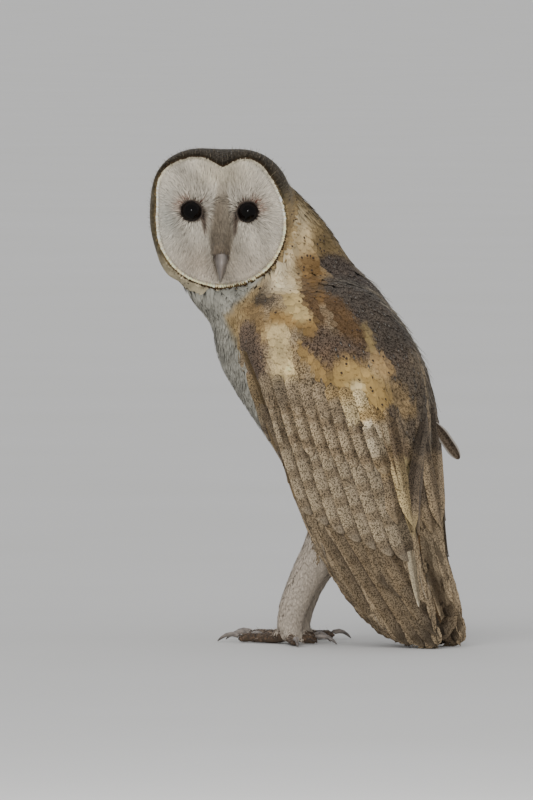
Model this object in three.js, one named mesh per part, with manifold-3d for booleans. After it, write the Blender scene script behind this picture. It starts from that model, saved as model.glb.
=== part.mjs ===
// Barn owl, life size, standing on a flat floor: one closed solid for each named part of the body.
// Millimetres, +Z up. The bird faces -Y, its left side is +X, and its head is turned over its left
// shoulder. The body leans back over the feet, and the wing tips rest on the floor behind them.
import * as THREE from "three";
import { mergeVertices } from "three/addons/utils/BufferGeometryUtils.js";
import Module from "manifold-3d";

const wasm = await Module();
wasm.setup();

// ---- driving sizes ----
const gap = 0.3; // clearance between neighbouring solids
const bodyRise = 30; // height that the straightened legs add under the trunk, neck and head
const faceTurn = 123; // compass of the face, in degrees from straight ahead (-Y) towards +X
const faceDrop = 7; // the face looks down by this many degrees
const faceTilt = -1; // lean of the head to one side, in degrees
const headCentre = new THREE.Vector3(24, -52.6, 291.5);
const discRadius = 45; // facial disc, centre to rim
const rimAhead = 20; // rim of the disc, ahead of the middle of the head
const ruffSize = 52.6; // middle of the head to the plumage behind the rim
const headDepth = 70; // rim of the disc to the back of the head
const eyeRadius = 8.6;
const eyeSpread = 19.3; // half the distance between the eyes
const eyeHeight = 8.9; // above the centre of the disc
const eyeAhead = 12; // middle of the eyeball, ahead of the middle of the head
const billTipDrop = 39; // bill tip below the centre of the disc
const stance = 19; // each foot from the middle plane
const stagger = 8; // the left foot stands this far behind the middle, the right one this far ahead
const toeRadius = 3.9;
const clawRadius = 1.9;

// ---- shapes ----
const up = new THREE.Vector3(0, 0, 1);
const degrees = Math.PI / 180;

// Sizes between named stations, blended smoothly; s runs from 0 to stations.length - 1.
function stationAt(stations, s) {
  const last = stations.length - 1;
  const i = Math.min(Math.floor(s), last - 1);
  const t = s - i;
  const pick = (k) => stations[Math.min(Math.max(k, 0), last)];
  const made = {};
  for (const key of Object.keys(stations[0])) {
    const [a, b, c, d] = [pick(i - 1)[key], pick(i)[key], pick(i + 1)[key], pick(i + 2)[key]];
    made[key] = b + 0.5 * t * (c - a + t * (2 * a - 5 * b + 4 * c - d + t * (3 * (b - c) + d - a)));
  }
  return made;
}

// A closed skin over rings of equal length, with a fan to the middle of the first and last ring.
function skinOver(rings) {
  const count = rings[0].length;
  const points = rings.flat();
  const faces = [];
  for (let i = 0; i < rings.length - 1; i++)
    for (let j = 0; j < count; j++) {
      const a = i * count + j;
      const b = i * count + ((j + 1) % count);
      faces.push(a, b, b + count, a, b + count, a + count);
    }
  for (const [ring, turn] of [[0, 1], [rings.length - 1, -1]]) {
    const middle = rings[ring].reduce((sum, p) => sum.add(p), new THREE.Vector3()).divideScalar(count);
    const centre = points.push(middle) - 1;
    for (let j = 0; j < count; j++) {
      const a = ring * count + j;
      const b = ring * count + ((j + 1) % count);
      faces.push(...(turn > 0 ? [centre, b, a] : [centre, a, b]));
    }
  }
  const geometry = new THREE.BufferGeometry().setFromPoints(points);
  geometry.setIndex(faces);
  return geometry;
}

// A closed geometry as a manifold-3d solid, turned the right way out.
function solidOf(geometry) {
  const bare = geometry.clone();
  bare.deleteAttribute("normal");
  bare.deleteAttribute("uv");
  const merged = mergeVertices(bare, 1e-4);
  const vertProperties = merged.attributes.position.array;
  const triVerts = new Uint32Array(merged.index.array);
  const made = new wasm.Manifold(new wasm.Mesh({ numProp: 3, vertProperties, triVerts }));
  if (made.volume() > 0) return made;
  for (let i = 0; i < triVerts.length; i += 3)
    [triVerts[i + 1], triVerts[i + 2]] = [triVerts[i + 2], triVerts[i + 1]];
  return new wasm.Manifold(new wasm.Mesh({ numProp: 3, vertProperties, triVerts }));
}

// The largest single body left after a cut.
function largest(solid) {
  return solid.decompose().reduce((a, b) => (b.volume() > a.volume() ? b : a));
}

function geometryOf(solid) {
  const mesh = solid.getMesh();
  const geometry = new THREE.BufferGeometry();
  geometry.setAttribute("position", new THREE.BufferAttribute(mesh.vertProperties, 3));
  geometry.setIndex(new THREE.BufferAttribute(mesh.triVerts, 1));
  geometry.computeVertexNormals();
  return geometry;
}

// Level slices stacked by height. Each station holds x, y, z (middle), wide and deep (half sizes along
// X and Y) and yaw (turn of the slice in degrees). grow swells the shape for cutting its neighbours,
// fullness above 2 squares the slices a little, and pinch narrows them behind and widens them ahead.
function levelStack(stations, rounds, slices, grow = 0, fullness = 2, pinch = 0) {
  const rounded = (value) => Math.sign(value) * Math.abs(value) ** (2 / fullness);
  const rings = [];
  for (let i = 0; i <= slices; i++) {
    const s = stationAt(stations, (i / slices) * (stations.length - 1));
    const turn = s.yaw * degrees;
    const ring = [];
    for (let j = 0; j < rounds; j++) {
      const angle = (j / rounds) * 2 * Math.PI;
      const share = 1 - pinch * Math.sin(angle);
      const across = (Math.max(s.wide, 0.3) * share + grow) * rounded(Math.cos(angle));
      const along = (Math.max(s.deep, 0.3) + grow) * rounded(Math.sin(angle));
      ring.push(
        new THREE.Vector3(
          s.x + across * Math.cos(turn) - along * Math.sin(turn),
          s.y + across * Math.sin(turn) + along * Math.cos(turn),
          s.z,
        ),
      );
    }
    rings.push(ring);
  }
  return skinOver(rings);
}

// An oval tube along points. Each size is one radius, or a level radius and an upright one.
function taperedTube(points, sizes, rounds, steps, grow = 0) {
  const path = new THREE.CatmullRomCurve3(points);
  const lastSide = new THREE.Vector3().crossVectors(path.getTangent(0), up);
  if (lastSide.length() < 0.05) lastSide.set(1, 0, 0);
  const rings = [];
  for (let i = 0; i <= steps; i++) {
    const share = i / steps;
    const middle = path.getPoint(share);
    const tangent = path.getTangent(share);
    const side = new THREE.Vector3().crossVectors(tangent, up);
    if (side.length() < 0.05) side.copy(lastSide);
    side.multiplyScalar(side.dot(lastSide) < 0 ? -1 : 1).normalize();
    lastSide.copy(side);
    const rise = new THREE.Vector3().crossVectors(side, tangent);
    const radii = sizes.map((size) => ({ level: [size].flat()[0], upright: [size].flat().at(-1) }));
    const radius = stationAt(radii, share * (radii.length - 1));
    const ring = [];
    for (let j = 0; j < rounds; j++) {
      const angle = (j / rounds) * 2 * Math.PI;
      ring.push(
        middle
          .clone()
          .addScaledVector(side, (Math.max(radius.level, 0.15) + grow) * Math.cos(angle))
          .addScaledVector(rise, (Math.max(radius.upright, 0.15) + grow) * Math.sin(angle)),
      );
    }
    rings.push(ring);
  }
  return skinOver(rings);
}

// ---- trunk, neck, tail and wings, as heights above the feet with bodyRise to come ----
const trunkStations = [
  { z: 222, y: 6, wide: 12, deep: 20 },
  { z: 215, y: 5, wide: 28, deep: 44 },
  { z: 202, y: 4, wide: 41, deep: 62 },
  { z: 182, y: 8.5, wide: 49, deep: 74 },
  { z: 158, y: 18, wide: 51, deep: 74.5 },
  { z: 134, y: 28.5, wide: 49, deep: 67.5 },
  { z: 108, y: 39, wide: 45, deep: 57 },
  { z: 80, y: 47.5, wide: 38, deep: 43 },
  { z: 54, y: 54, wide: 30, deep: 31 },
  { z: 32, y: 61, wide: 19, deep: 19 },
  { z: 22, y: 65, wide: 8, deep: 8 },
];
const neckStations = [
  { z: 166, x: -2.3, y: 7.9, wide: 45, deep: 62, yaw: 4 },
  { z: 185, x: -1.5, y: 2.6, wide: 43, deep: 63.5, yaw: 12 },
  { z: 200, x: -0.5, y: -7.2, wide: 42, deep: 67, yaw: 22 },
  { z: 210, x: -4.4, y: -16.4, wide: 39, deep: 69.5, yaw: 28 },
  { z: 221, x: -8.2, y: -27.8, wide: 34, deep: 66, yaw: 30 },
  { z: 232, x: -7.9, y: -32.3, wide: 31, deep: 58.5, yaw: 30 },
  { z: 242, x: -7.3, y: -35.4, wide: 30, deep: 55, yaw: 30 },
  { z: 256, x: -6.6, y: -38.5, wide: 29, deep: 49, yaw: 30 },
  { z: 270, x: -4.1, y: -42.8, wide: 27, deep: 42, yaw: 30 },
  { z: 282, x: 0.2, y: -48.4, wide: 21, deep: 38, yaw: 30 },
  { z: 292, x: 3.7, y: -54.4, wide: 13, deep: 30, yaw: 30 },
];
const wingStations = [
  { z: 214, front: 0, rear: 30, x: 24, wide: 8, yaw: 12 },
  { z: 205, front: -20, rear: 52, x: 24, wide: 24, yaw: 12 },
  { z: 178, front: -32, rear: 73, x: 23, wide: 35.5, yaw: 12 },
  { z: 150, front: -15, rear: 84, x: 22, wide: 37.5, yaw: 12 },
  { z: 118, front: -3, rear: 90, x: 23, wide: 34, yaw: 14 },
  { z: 90, front: 8, rear: 94, x: 26, wide: 27, yaw: 16 },
  { z: 60, front: 20, rear: 99, x: 28, wide: 18, yaw: 18 },
  { z: 30, front: 36, rear: 104.5, x: 26.5, wide: 10.5, yaw: 18 },
  { z: 4, front: 51, rear: 111, x: 23, wide: 7, yaw: 15 },
  { z: -20, front: 69, rear: 115, x: 19, wide: 5, yaw: 10 },
  { z: -36, front: 86, rear: 117, x: 16, wide: 3.4, yaw: 4 },
  { z: -42, front: 102, rear: 112, x: 15, wide: 1.6, yaw: 0 },
];
const tailStations = [
  { z: 62, y: 74, wide: 15, deep: 10 },
  { z: 40, y: 78, wide: 18, deep: 8 },
  { z: 10, y: 88, wide: 19, deep: 6 },
  { z: -12, y: 98, wide: 18, deep: 4.5 },
  { z: -22, y: 103, wide: 13, deep: 3 },
];

// The longest feathers bend back where they would pass below the floor: heights under bendStart
// are squeezed so that the lowest point, at tipDrop, ends on it.
function settled(z, tipDrop) {
  const bendStart = 44;
  const raised = z + bodyRise;
  if (raised > bendStart) return raised;
  const below = bendStart - raised;
  const deepest = bendStart - bodyRise - tipDrop;
  return bendStart - below + (deepest - bendStart) * (below / deepest) ** 2;
}

const trunkShape = (grow) => {
  const stations = trunkStations.map((s) => ({ ...s, z: s.z + bodyRise, x: 0, yaw: 0 }));
  return solidOf(levelStack(stations, 24, 15, grow, 2, 0.15));
};

// side is 1 for the left wing and -1 for the right one; tipDrop is its lowest point before settling.
function wingShape(side, tipDrop, grow) {
  const scale = tipDrop / wingStations[wingStations.length - 1].z;
  const stations = wingStations.map((s) => ({
    z: settled(s.z < 30 ? 30 - (30 - s.z) * ((30 - tipDrop) / (30 - -42)) : s.z, tipDrop),
    y: (s.front + s.rear) / 2 + (s.z < 30 ? (1 - scale) * 6 : 0),
    x: side * s.x,
    wide: s.wide,
    deep: (s.rear - s.front) / 2,
    yaw: side * s.yaw,
  }));
  return solidOf(levelStack(stations, 16, 16, grow, 2.5));
}

const tailShape = (grow) =>
  solidOf(
    levelStack(tailStations.map((s) => ({ ...s, z: s.z + bodyRise, x: 0, yaw: 0 })), 16, 8, grow),
  );

// ---- head ----
// right and rise are the face's own axes as seen by someone in front of it; out points to them.
const out = new THREE.Vector3(Math.sin(faceTurn * degrees), -Math.cos(faceTurn * degrees), 0);
const right = new THREE.Vector3().crossVectors(up, out);
const rise = up.clone();
out.applyAxisAngle(right, faceDrop * degrees);
rise.applyAxisAngle(right, faceDrop * degrees);
right.applyAxisAngle(out, faceTilt * degrees);
rise.applyAxisAngle(out, faceTilt * degrees);

const onFace = (across, above, ahead) =>
  headCentre
    .clone()
    .addScaledVector(right, across)
    .addScaledVector(rise, above)
    .addScaledVector(out, ahead);

const bump = (value, middle, width) => Math.exp(-(((value - middle) / width) ** 2));

// The heart-shaped rim: distance from the centre at an angle from straight up, in degrees, fuller
// high on the left of the face; side is 1 to the right of the face and -1 to the left.
const rimRadius = (turn, side) =>
  discRadius +
  5.5 * bump(turn, 25, 24) -
  6.5 * bump(turn, 0, 13) -
  1.5 * bump(turn, 180, 40) +
  (side < 0 ? 8.4 * bump(turn, 51, 20) : 0);

// The ruff of plumage just behind the rim.
const ruffRadius = (turn, side) =>
  ruffSize +
  3.6 * bump(turn, 25, 52) +
  (side < 0 ? 5.5 * bump(turn, 42, 28) + 8 * bump(turn, 137, 16) : 8 * bump(turn, 52, 32));

// How far a point of the face stands ahead of the rim: two shallow dishes with a ridge between them
// that rises from the brow to the root of the bill.
function faceRelief(across, above) {
  const share = Math.min(1, Math.hypot(across, above) / discRadius);
  const dish = -4.5 * Math.sin(Math.PI * share) ** 2;
  const ridgeWidth = 6.5 + 2.5 * bump(above, -16, 16);
  const ridgeHeight = 4.5 + 6.5 * bump(above, -15, 19);
  const fade = above < -22 ? bump(above, -22, 9) : 1;
  return dish + ridgeHeight * bump(across, 0, ridgeWidth) * fade * (1 - share ** 4);
}

function headShape(grow) {
  const rounds = 34;
  const faceSteps = 8;
  const backSteps = 7;
  const rings = [];
  const ringAt = (place) =>
    Array.from({ length: rounds }, (unused, j) => {
      const angle = (j / rounds) * 360;
      return angle > 180 ? place(360 - angle, -1) : place(angle, 1);
    });
  const spot = (turn, side, reach, ahead) =>
    onFace(side * reach * Math.sin(turn * degrees), reach * Math.cos(turn * degrees), ahead);
  for (let i = 1; i <= faceSteps; i++)
    rings.push(
      ringAt((turn, side) => {
        const reach = (rimRadius(turn, side) + grow) * (i / faceSteps);
        const across = reach * Math.sin(turn * degrees);
        const above = reach * Math.cos(turn * degrees);
        return spot(turn, side, reach, rimAhead + faceRelief(across, above) + grow);
      }),
    );
  for (let i = 1; i <= backSteps; i++) {
    const lean = (i / (backSteps + 0.5)) * 90 * degrees;
    const share = Math.min(1, i / 3) ** 0.6;
    rings.push(
      ringAt((turn, side) => {
        const rim = rimRadius(turn, side);
        const radius = rim + (ruffRadius(turn, side) - rim) * share;
        const reach = (radius + grow) * Math.cos(lean) ** 0.85;
        return spot(turn, side, reach, rimAhead - (headDepth + grow) * Math.sin(lean) ** 1.15);
      }),
    );
  }
  return solidOf(skinOver(rings));
}

// The open space ahead of the disc, which the plumage of the throat leaves free.
function faceWindow() {
  const rounds = 30;
  const steps = [[rimAhead - 4, 1], [rimAhead + 2, 1.5], [rimAhead + 45, 16]];
  const rings = steps.map(([ahead, spare]) =>
    Array.from({ length: rounds }, (unused, j) => {
      const angle = (j / rounds) * 360;
      const reach = (angle > 180 ? rimRadius(360 - angle, -1) : rimRadius(angle, 1)) + spare;
      return onFace(reach * Math.sin(angle * degrees), reach * Math.cos(angle * degrees), ahead);
    }),
  );
  return solidOf(skinOver(rings));
}

const eyeCentre = (side) => onFace(side * eyeSpread - 1.2, eyeHeight, eyeAhead);
const eyeShape = (side, grow) => {
  const ball = new THREE.SphereGeometry(eyeRadius + grow, 15, 10);
  const centre = eyeCentre(side);
  return solidOf(ball.translate(centre.x, centre.y, centre.z));
};

const billShape = (grow) =>
  solidOf(
    taperedTube(
      [
        onFace(0, -14, 25),
        onFace(0, -20, 31),
        onFace(0, -27, 33.5),
        onFace(0, -34.5, 31.5),
        onFace(0, -billTipDrop, 25.5),
      ],
      [6.2, 6, 4.8, 3.1, 0.5],
      12,
      9,
      grow,
    ),
  );

const neckShape = (grow) =>
  solidOf(levelStack(neckStations.map((s) => ({ ...s, z: s.z + bodyRise })), 24, 13, grow));

// The plane that parts the neck from the trunk, as a block filling one side of it.
function sideOfCut(above, clearance) {
  const reach = 400;
  const lean = 38; // degrees that the cut leans, higher behind
  const block = new THREE.BoxGeometry(reach, reach, reach);
  block.translate(0, 0, above * (reach / 2 + clearance));
  block.rotateX(lean * degrees);
  return solidOf(block.translate(0, -4, 205 + bodyRise));
}

// ---- legs and feet ----
const ankle = (side) => new THREE.Vector3(side * stance, side * stagger - 8, 13);
const legShape = (side, grow) => {
  const foot = ankle(side);
  return solidOf(
    taperedTube(
      [
        foot.clone().add(new THREE.Vector3(0, 0, -3)),
        foot.clone().add(new THREE.Vector3(0, 3, 12)),
        foot.clone().add(new THREE.Vector3(0, 16, 38)),
        new THREE.Vector3(side * 20, 31 + side * 3, 78),
        new THREE.Vector3(side * 20, 36, 104),
        new THREE.Vector3(side * 18, 40, 128),
      ],
      [8.8, 9.8, 11.5, 16, 21, 17],
      14,
      10,
      grow,
    ),
  );
};

// Two toes reach ahead and two behind; turn is measured from straight ahead, away from the body.
const toes = [
  { name: "middle", turn: 4, length: 36, claw: 21 },
  { name: "inner", turn: -24, length: 31, claw: 20 },
  { name: "outer", turn: 128, length: 25, claw: 17 },
  { name: "hind", turn: 196, length: 17, claw: 18 },
];

const toeWay = (side, toe) =>
  new THREE.Vector3(0, -1, 0).applyAxisAngle(up, side * toe.turn * degrees);

const toeShape = (side, toe, grow) => {
  const foot = ankle(side);
  const way = toeWay(side, toe);
  const at = (reach, height) => foot.clone().addScaledVector(way, reach).setZ(height);
  const r = toeRadius;
  return solidOf(
    taperedTube(
      [
        at(0, r + 3),
        at(6, r + 1.5),
        at(toe.length * 0.45, r - 0.9),
        at(toe.length * 0.8, r),
        at(toe.length, r - 1.1),
        at(toe.length + 3.4, r - 1.4),
      ],
      [r + 2.2, r + 0.8, r + 0.1, r - 0.2, r - 0.3, 1.6],
      7,
      6,
      grow,
    ),
  );
};

const clawShape = (side, toe, grow) => {
  const foot = ankle(side);
  const way = toeWay(side, toe);
  const at = (reach, height) => foot.clone().addScaledVector(way, reach).setZ(height);
  const start = toe.length;
  return solidOf(
    taperedTube(
      [
        at(start, toeRadius - 0.4),
        at(start + toe.claw * 0.3, toeRadius + 1.6),
        at(start + toe.claw * 0.6, toeRadius + 0.9),
        at(start + toe.claw * 0.83, toeRadius - 1.9),
        at(start + toe.claw * 0.93, 0.15),
      ],
      [clawRadius, clawRadius, clawRadius * 0.78, clawRadius * 0.5, 0.3],
      7,
      6,
      grow,
    ),
  );
};

const floorBlock = solidOf(new THREE.BoxGeometry(600, 600, 40).translate(0, 0, -20));
const joined = (solids) => solids.reduce((a, b) => a.add(b));

// ---- a single scapular feather that stands off the back ----
const strayFeatherShape = () =>
  solidOf(
    taperedTube(
      [
        new THREE.Vector3(-24, 84, 128 + bodyRise),
        new THREE.Vector3(-30, 94, 114 + bodyRise),
        new THREE.Vector3(-34, 102, 101 + bodyRise),
        new THREE.Vector3(-35, 104, 98 + bodyRise),
      ],
      [[1.2, 3.5], [1.6, 4.5], [1.3, 3.6], [0.5, 0.8]],
      10,
      10,
    ),
  );

// ---- cut each part by the neighbours that it meets ----
const tipDrop = { left: -42, right: -30 };
const plumage = new THREE.MeshStandardMaterial({ color: 0xa08a66, roughness: 0.9 });
const paleDown = new THREE.MeshStandardMaterial({ color: 0xe6e3dc, roughness: 0.9 });
const horn = new THREE.MeshStandardMaterial({ color: 0xb8a79b, roughness: 0.4 });
const claw = new THREE.MeshStandardMaterial({ color: 0x4b443f, roughness: 0.35 });
const toeSkin = new THREE.MeshStandardMaterial({ color: 0x7d6c60, roughness: 0.7 });
const darkEye = new THREE.MeshStandardMaterial({ color: 0x0b0a0a, roughness: 0.05 });

const owl = new THREE.Group();
owl.name = "barn_owl";
function addPart(name, solid, material) {
  const mesh = new THREE.Mesh(geometryOf(largest(solid).simplify(0.04)), material);
  mesh.name = name;
  owl.add(mesh);
}

const swollen = {
  head: headShape(gap),
  bill: billShape(gap),
  tail: tailShape(gap),
  left: wingShape(1, tipDrop.left, gap),
  right: wingShape(-1, tipDrop.right, gap),
};

const eyesGrown = eyeShape(1, gap).add(eyeShape(-1, gap));
const body = trunkShape(0).add(neckShape(0));
const bodyGrown = trunkShape(gap).add(neckShape(gap));
addPart("head", headShape(0).subtract(eyesGrown).subtract(swollen.bill), paleDown);
addPart("bill", billShape(0), horn);
const freeNeck = body.subtract(swollen.head).subtract(swollen.bill).subtract(faceWindow());
addPart("neck", freeNeck.intersect(sideOfCut(1, 0)), plumage);
addPart("trunk", body.intersect(sideOfCut(-1, gap)), plumage);
const coveredTail = tailShape(0).subtract(bodyGrown).subtract(swollen.left).subtract(swollen.right);
addPart("tail", coveredTail, plumage);
const strayFeather = strayFeatherShape().subtract(bodyGrown).subtract(swollen.right);
addPart("stray_scapular_feather", strayFeather, plumage);

for (const [label, side] of [["left", 1], ["right", -1]]) {
  addPart(`eye_${label}`, eyeShape(side, 0), darkEye);
  const wing = wingShape(side, tipDrop[label], 0);
  addPart(`wing_${label}`, wing.subtract(bodyGrown), plumage);
  const leg = legShape(side, 0).subtract(bodyGrown).subtract(swollen[label]).subtract(swollen.tail);
  addPart(`leg_${label}`, leg, paleDown);
  const foot = joined(toes.map((toe) => toeShape(side, toe, 0)));
  const footGrown = joined(toes.map((toe) => toeShape(side, toe, gap)));
  addPart(`foot_${label}`, foot.subtract(legShape(side, gap)).subtract(floorBlock), toeSkin);
  for (const toe of toes) {
    const nail = clawShape(side, toe, 0).subtract(footGrown).subtract(floorBlock);
    addPart(`claw_${label}_${toe.name}`, nail, claw);
  }
}

// The origin is on the floor under the middle of the whole bird.
const box = new THREE.Box3().setFromObject(owl);
const middle = box.getCenter(new THREE.Vector3());
for (const mesh of owl.children) mesh.geometry.translate(-middle.x, -middle.y, -box.min.z);

export default owl;
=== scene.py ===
# Barn owl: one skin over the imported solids, then eyes, lids, bill, claws and a full coat of feathers.
# Lengths in the script are millimetres, and meshes are written in metres.
import math
import bmesh
import bpy
import numpy as np
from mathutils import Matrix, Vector
from mathutils.bvhtree import BVHTree


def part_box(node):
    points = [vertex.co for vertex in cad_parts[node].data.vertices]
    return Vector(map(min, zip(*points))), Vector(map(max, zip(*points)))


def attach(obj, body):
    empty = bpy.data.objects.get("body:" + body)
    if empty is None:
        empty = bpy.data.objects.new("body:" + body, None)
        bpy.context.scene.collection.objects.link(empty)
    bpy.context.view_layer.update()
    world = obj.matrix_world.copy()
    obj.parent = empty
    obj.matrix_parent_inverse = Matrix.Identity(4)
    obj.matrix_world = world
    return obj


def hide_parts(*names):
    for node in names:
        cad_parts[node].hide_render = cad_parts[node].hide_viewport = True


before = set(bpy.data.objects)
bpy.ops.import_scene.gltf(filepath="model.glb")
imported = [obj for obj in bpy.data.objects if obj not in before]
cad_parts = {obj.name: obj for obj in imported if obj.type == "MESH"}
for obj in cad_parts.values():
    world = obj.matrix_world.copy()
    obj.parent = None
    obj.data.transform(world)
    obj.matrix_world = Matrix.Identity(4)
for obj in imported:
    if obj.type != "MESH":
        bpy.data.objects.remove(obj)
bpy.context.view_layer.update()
mm = 0.001
weldGap = 0.01 * mm
floorGap = 0.02 * mm
rng = np.random.default_rng(7)
print("frame loaded")

# small vector helpers, and the places that the frame gives
upward = np.array([0.0, 0.0, 1.0])
toViewer = np.array([0.866, 0.5, 0.0])  # out of the flank that is seen most
alongFlank = np.array([-0.5, 0.866, 0.0])  # level, towards the tail


def unit(v):
    v = np.asarray(v, float)
    return v / np.maximum(np.linalg.norm(v, axis=-1, keepdims=True), 1e-9)


def bump(value, middle, width):
    return np.exp(-(((value - middle) / width) ** 2))


def smooth(value, low, high):
    t = np.clip((value - low) / (high - low), 0, 1)
    return t * t * (3 - 2 * t)


def boxCentre(node):
    low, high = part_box(node)
    return (np.array(low) + np.array(high)) / 2 / mm


head = {
    "faceDrop": 7,
    "disc": 45,
    "rimSwells": ((5.5, 25, 24), (-6.5, 0, 13), (-1.5, 180, 40)),  # size, then degrees from the top and width
    "rightBrow": (8.4, 51, 20),
    "eyeHeight": 8.9,
    "eyeAhead": 12,
    "eyeShift": -1.2,
    "eyeRadius": 8.6,
    "eyeSpots": (-20.5, 18.1),
    "faceEdge": (0.93, 1.0),  # shares of the rim's radius between which the disc gives way to the ruff
    "facePlane": 18.0,
    "faceFront": 70.0,  # a plane well in front of the bill, to look back from
}
flank = {"farShift": 22, "farSide": (2, 15), "farBack": (-14, 8), "plane": 34, "beyond": 300}
eyeAt = {"left": boxCentre("eye_left"), "right": boxCentre("eye_right")}
faceLean = math.radians(head["faceDrop"])
faceAcross = unit(eyeAt["left"] - eyeAt["right"])
faceLevel = unit(np.cross(faceAcross, upward))
faceLevel = faceLevel * np.sign(faceLevel @ toViewer)
faceOut = unit(faceLevel * math.cos(faceLean) - upward * math.sin(faceLean))
faceAcross = unit(faceAcross - faceOut * (faceAcross @ faceOut))
faceUp = unit(np.cross(faceOut, faceAcross))
faceUp = faceUp * np.sign(faceUp[2])
headCentre = (eyeAt["left"] + eyeAt["right"]) / 2 - faceAcross * head["eyeShift"]
headCentre = headCentre - faceUp * head["eyeHeight"] - faceOut * head["eyeAhead"]
eyeSpots = [(spot, head["eyeHeight"]) for spot in head["eyeSpots"]]


def toFace(points):  # across, above and ahead of the head's centre
    d = points - headCentre
    return d @ faceAcross, d @ faceUp, d @ faceOut


def fromFace(across, above, ahead):
    across, above, ahead = np.broadcast_arrays(across, above, ahead)
    out = across[..., None] * faceAcross + above[..., None] * faceUp
    return headCentre + out + ahead[..., None] * faceOut


def faceTurn(across, above):  # degrees from straight up, 0 to 180
    return np.degrees(np.arctan2(np.abs(across), above))


def rimRadius(across, above):  # from the disc's centre, towards a point; fuller high on the bird's right
    turn = faceTurn(across, above)
    radius = head["disc"]
    for size, middle, width in head["rimSwells"]:
        radius = radius + size * bump(turn, middle, width)
    size, middle, width = head["rightBrow"]
    return radius + size * bump(turn, middle, width) * (across < 0)


def toFlank(points):  # the two flanks share one map: towards the tail, and height
    u = alongFlank[1] * points[..., 1] + alongFlank[0] * np.abs(points[..., 0])
    far = smooth(-points[..., 0], *flank["farSide"]) * smooth(points[..., 1], *flank["farBack"])
    return np.stack([u + flank["farShift"] * far, points[..., 2]], -1)  # the far back is moved on


# meshes
def withAlpha(rgb):
    return np.concatenate([rgb, np.ones((len(rgb), 1))], 1)


def greyPaint(shade):
    return withAlpha(np.repeat(shade[:, None], 3, 1))


def setAttribute(mesh, key, values):
    width = 1 if values.ndim == 1 else values.shape[1]
    kinds = {1: ("FLOAT", "value"), 3: ("FLOAT_VECTOR", "vector"), 4: ("FLOAT_COLOR", "color")}
    kind, field = kinds[width]
    layer = mesh.attributes.new(key, kind, "POINT")
    layer.data.foreach_set(field, values.astype(np.float32).ravel())


def setSmooth(mesh):
    mesh.polygons.foreach_set("use_smooth", np.ones(len(mesh.polygons), bool))


def newMesh(name, points, faces, attributes=None, uv=None, ring=0):  # uv: one for each point or each corner
    mesh = bpy.data.meshes.new(name)
    faces = np.asarray(faces, np.int32)
    mesh.vertices.add(len(points))
    mesh.vertices.foreach_set("co", (np.asarray(points) * mm).astype(np.float32).ravel())
    mesh.loops.add(faces.size)
    mesh.loops.foreach_set("vertex_index", faces.ravel())
    mesh.polygons.add(len(faces))
    mesh.polygons.foreach_set("loop_start", np.arange(len(faces), dtype=np.int32) * faces.shape[1])
    mesh.update(calc_edges=True)
    for key, values in (attributes or {}).items():
        setAttribute(mesh, key, values)
    if uv is not None:
        uv = uv if uv.ndim == 3 else uv[faces.ravel()]
        mesh.uv_layers.new(name="OFBake").data.foreach_set("uv", uv.astype(np.float32).ravel())
    setSmooth(mesh)
    if ring:  # a vane's two margins stay crisp, so each side is shaded as one flat web
        ends = np.empty(len(mesh.edges) * 2, np.int32)
        mesh.edges.foreach_get("vertices", ends)
        ends = ends.reshape(-1, 2)
        margin = np.abs(ends[:, 0] - ends[:, 1]) == ring
        margin &= np.isin(ends[:, 0] % ring, (0, ring // 2))
        mesh.attributes.new("sharp_edge", "BOOLEAN", "EDGE").data.foreach_set("value", margin)
    mesh.update()
    return mesh


def placed(name, data):
    thing = bpy.data.objects.new(name, data)
    bpy.context.scene.collection.objects.link(thing)
    return thing


def addPiece(name, mesh, material, stands=()):
    co = np.empty(len(mesh.vertices) * 3, np.float32)
    mesh.vertices.foreach_get("co", co)
    co[2::3] = np.maximum(co[2::3], floorGap)  # nothing goes below the floor
    mesh.vertices.foreach_set("co", co)
    mesh.update()
    mesh.materials.clear()
    mesh.materials.append(material)
    piece = placed(name, mesh)
    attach(piece, "root")
    if stands:
        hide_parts(*stands)


def nodeSolid(names, swell=0.0):
    solid = bmesh.new()
    for name in names:
        solid.from_mesh(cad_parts[name].data)
    bmesh.ops.remove_doubles(solid, verts=solid.verts, dist=weldGap)
    solid.normal_update()
    for v in solid.verts:
        v.co += v.normal * swell * mm
    mesh = bpy.data.meshes.new("solid")
    solid.to_mesh(mesh)
    solid.free()
    return mesh


def plainMesh(holder):  # the holder's mesh with its modifiers worked in
    graph = bpy.context.evaluated_depsgraph_get()
    mesh = bpy.data.meshes.new_from_object(holder.evaluated_get(graph))
    bpy.data.objects.remove(holder)
    return mesh


def remeshed(mesh, voxel, rounds):
    holder = placed("holder", mesh)
    remesh = holder.modifiers.new("remesh", "REMESH")
    remesh.mode = "VOXEL"
    remesh.voxel_size = voxel * mm
    relax = holder.modifiers.new("relax", "SMOOTH")
    relax.factor = 0.5
    relax.iterations = rounds
    return plainMesh(holder)


def welded(mesh):
    solid = bmesh.new()
    solid.from_mesh(mesh)
    bmesh.ops.remove_doubles(solid, verts=solid.verts, dist=weldGap)
    bmesh.ops.recalc_face_normals(solid, faces=solid.faces)
    solid.to_mesh(mesh)
    solid.free()
    return mesh


def meshArrays(mesh):  # points, and the point at each corner
    co = np.empty(len(mesh.vertices) * 3, np.float32)
    mesh.vertices.foreach_get("co", co)
    loops = np.empty(len(mesh.loops), np.int32)
    mesh.loops.foreach_get("vertex_index", loops)
    return co.reshape(-1, 3).astype(float) / mm, loops


def tubeFaces(rows, sides, capped=True):  # rings joined row by row, with both ends filled
    corner = np.arange(sides)
    following = (corner + 1) % sides
    faces = []
    for near in np.arange(rows - 1) * sides:
        far = near + sides
        faces += np.stack([near + corner, near + following, far + following, far + corner], 1).tolist()
    end = (rows - 1) * sides
    for k in range(1, sides - 2, 2) if capped else ():
        faces += [(0, k + 2, k + 1, k), (end, end + k, end + k + 1, end + k + 2)]
    return np.array(faces)


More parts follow.
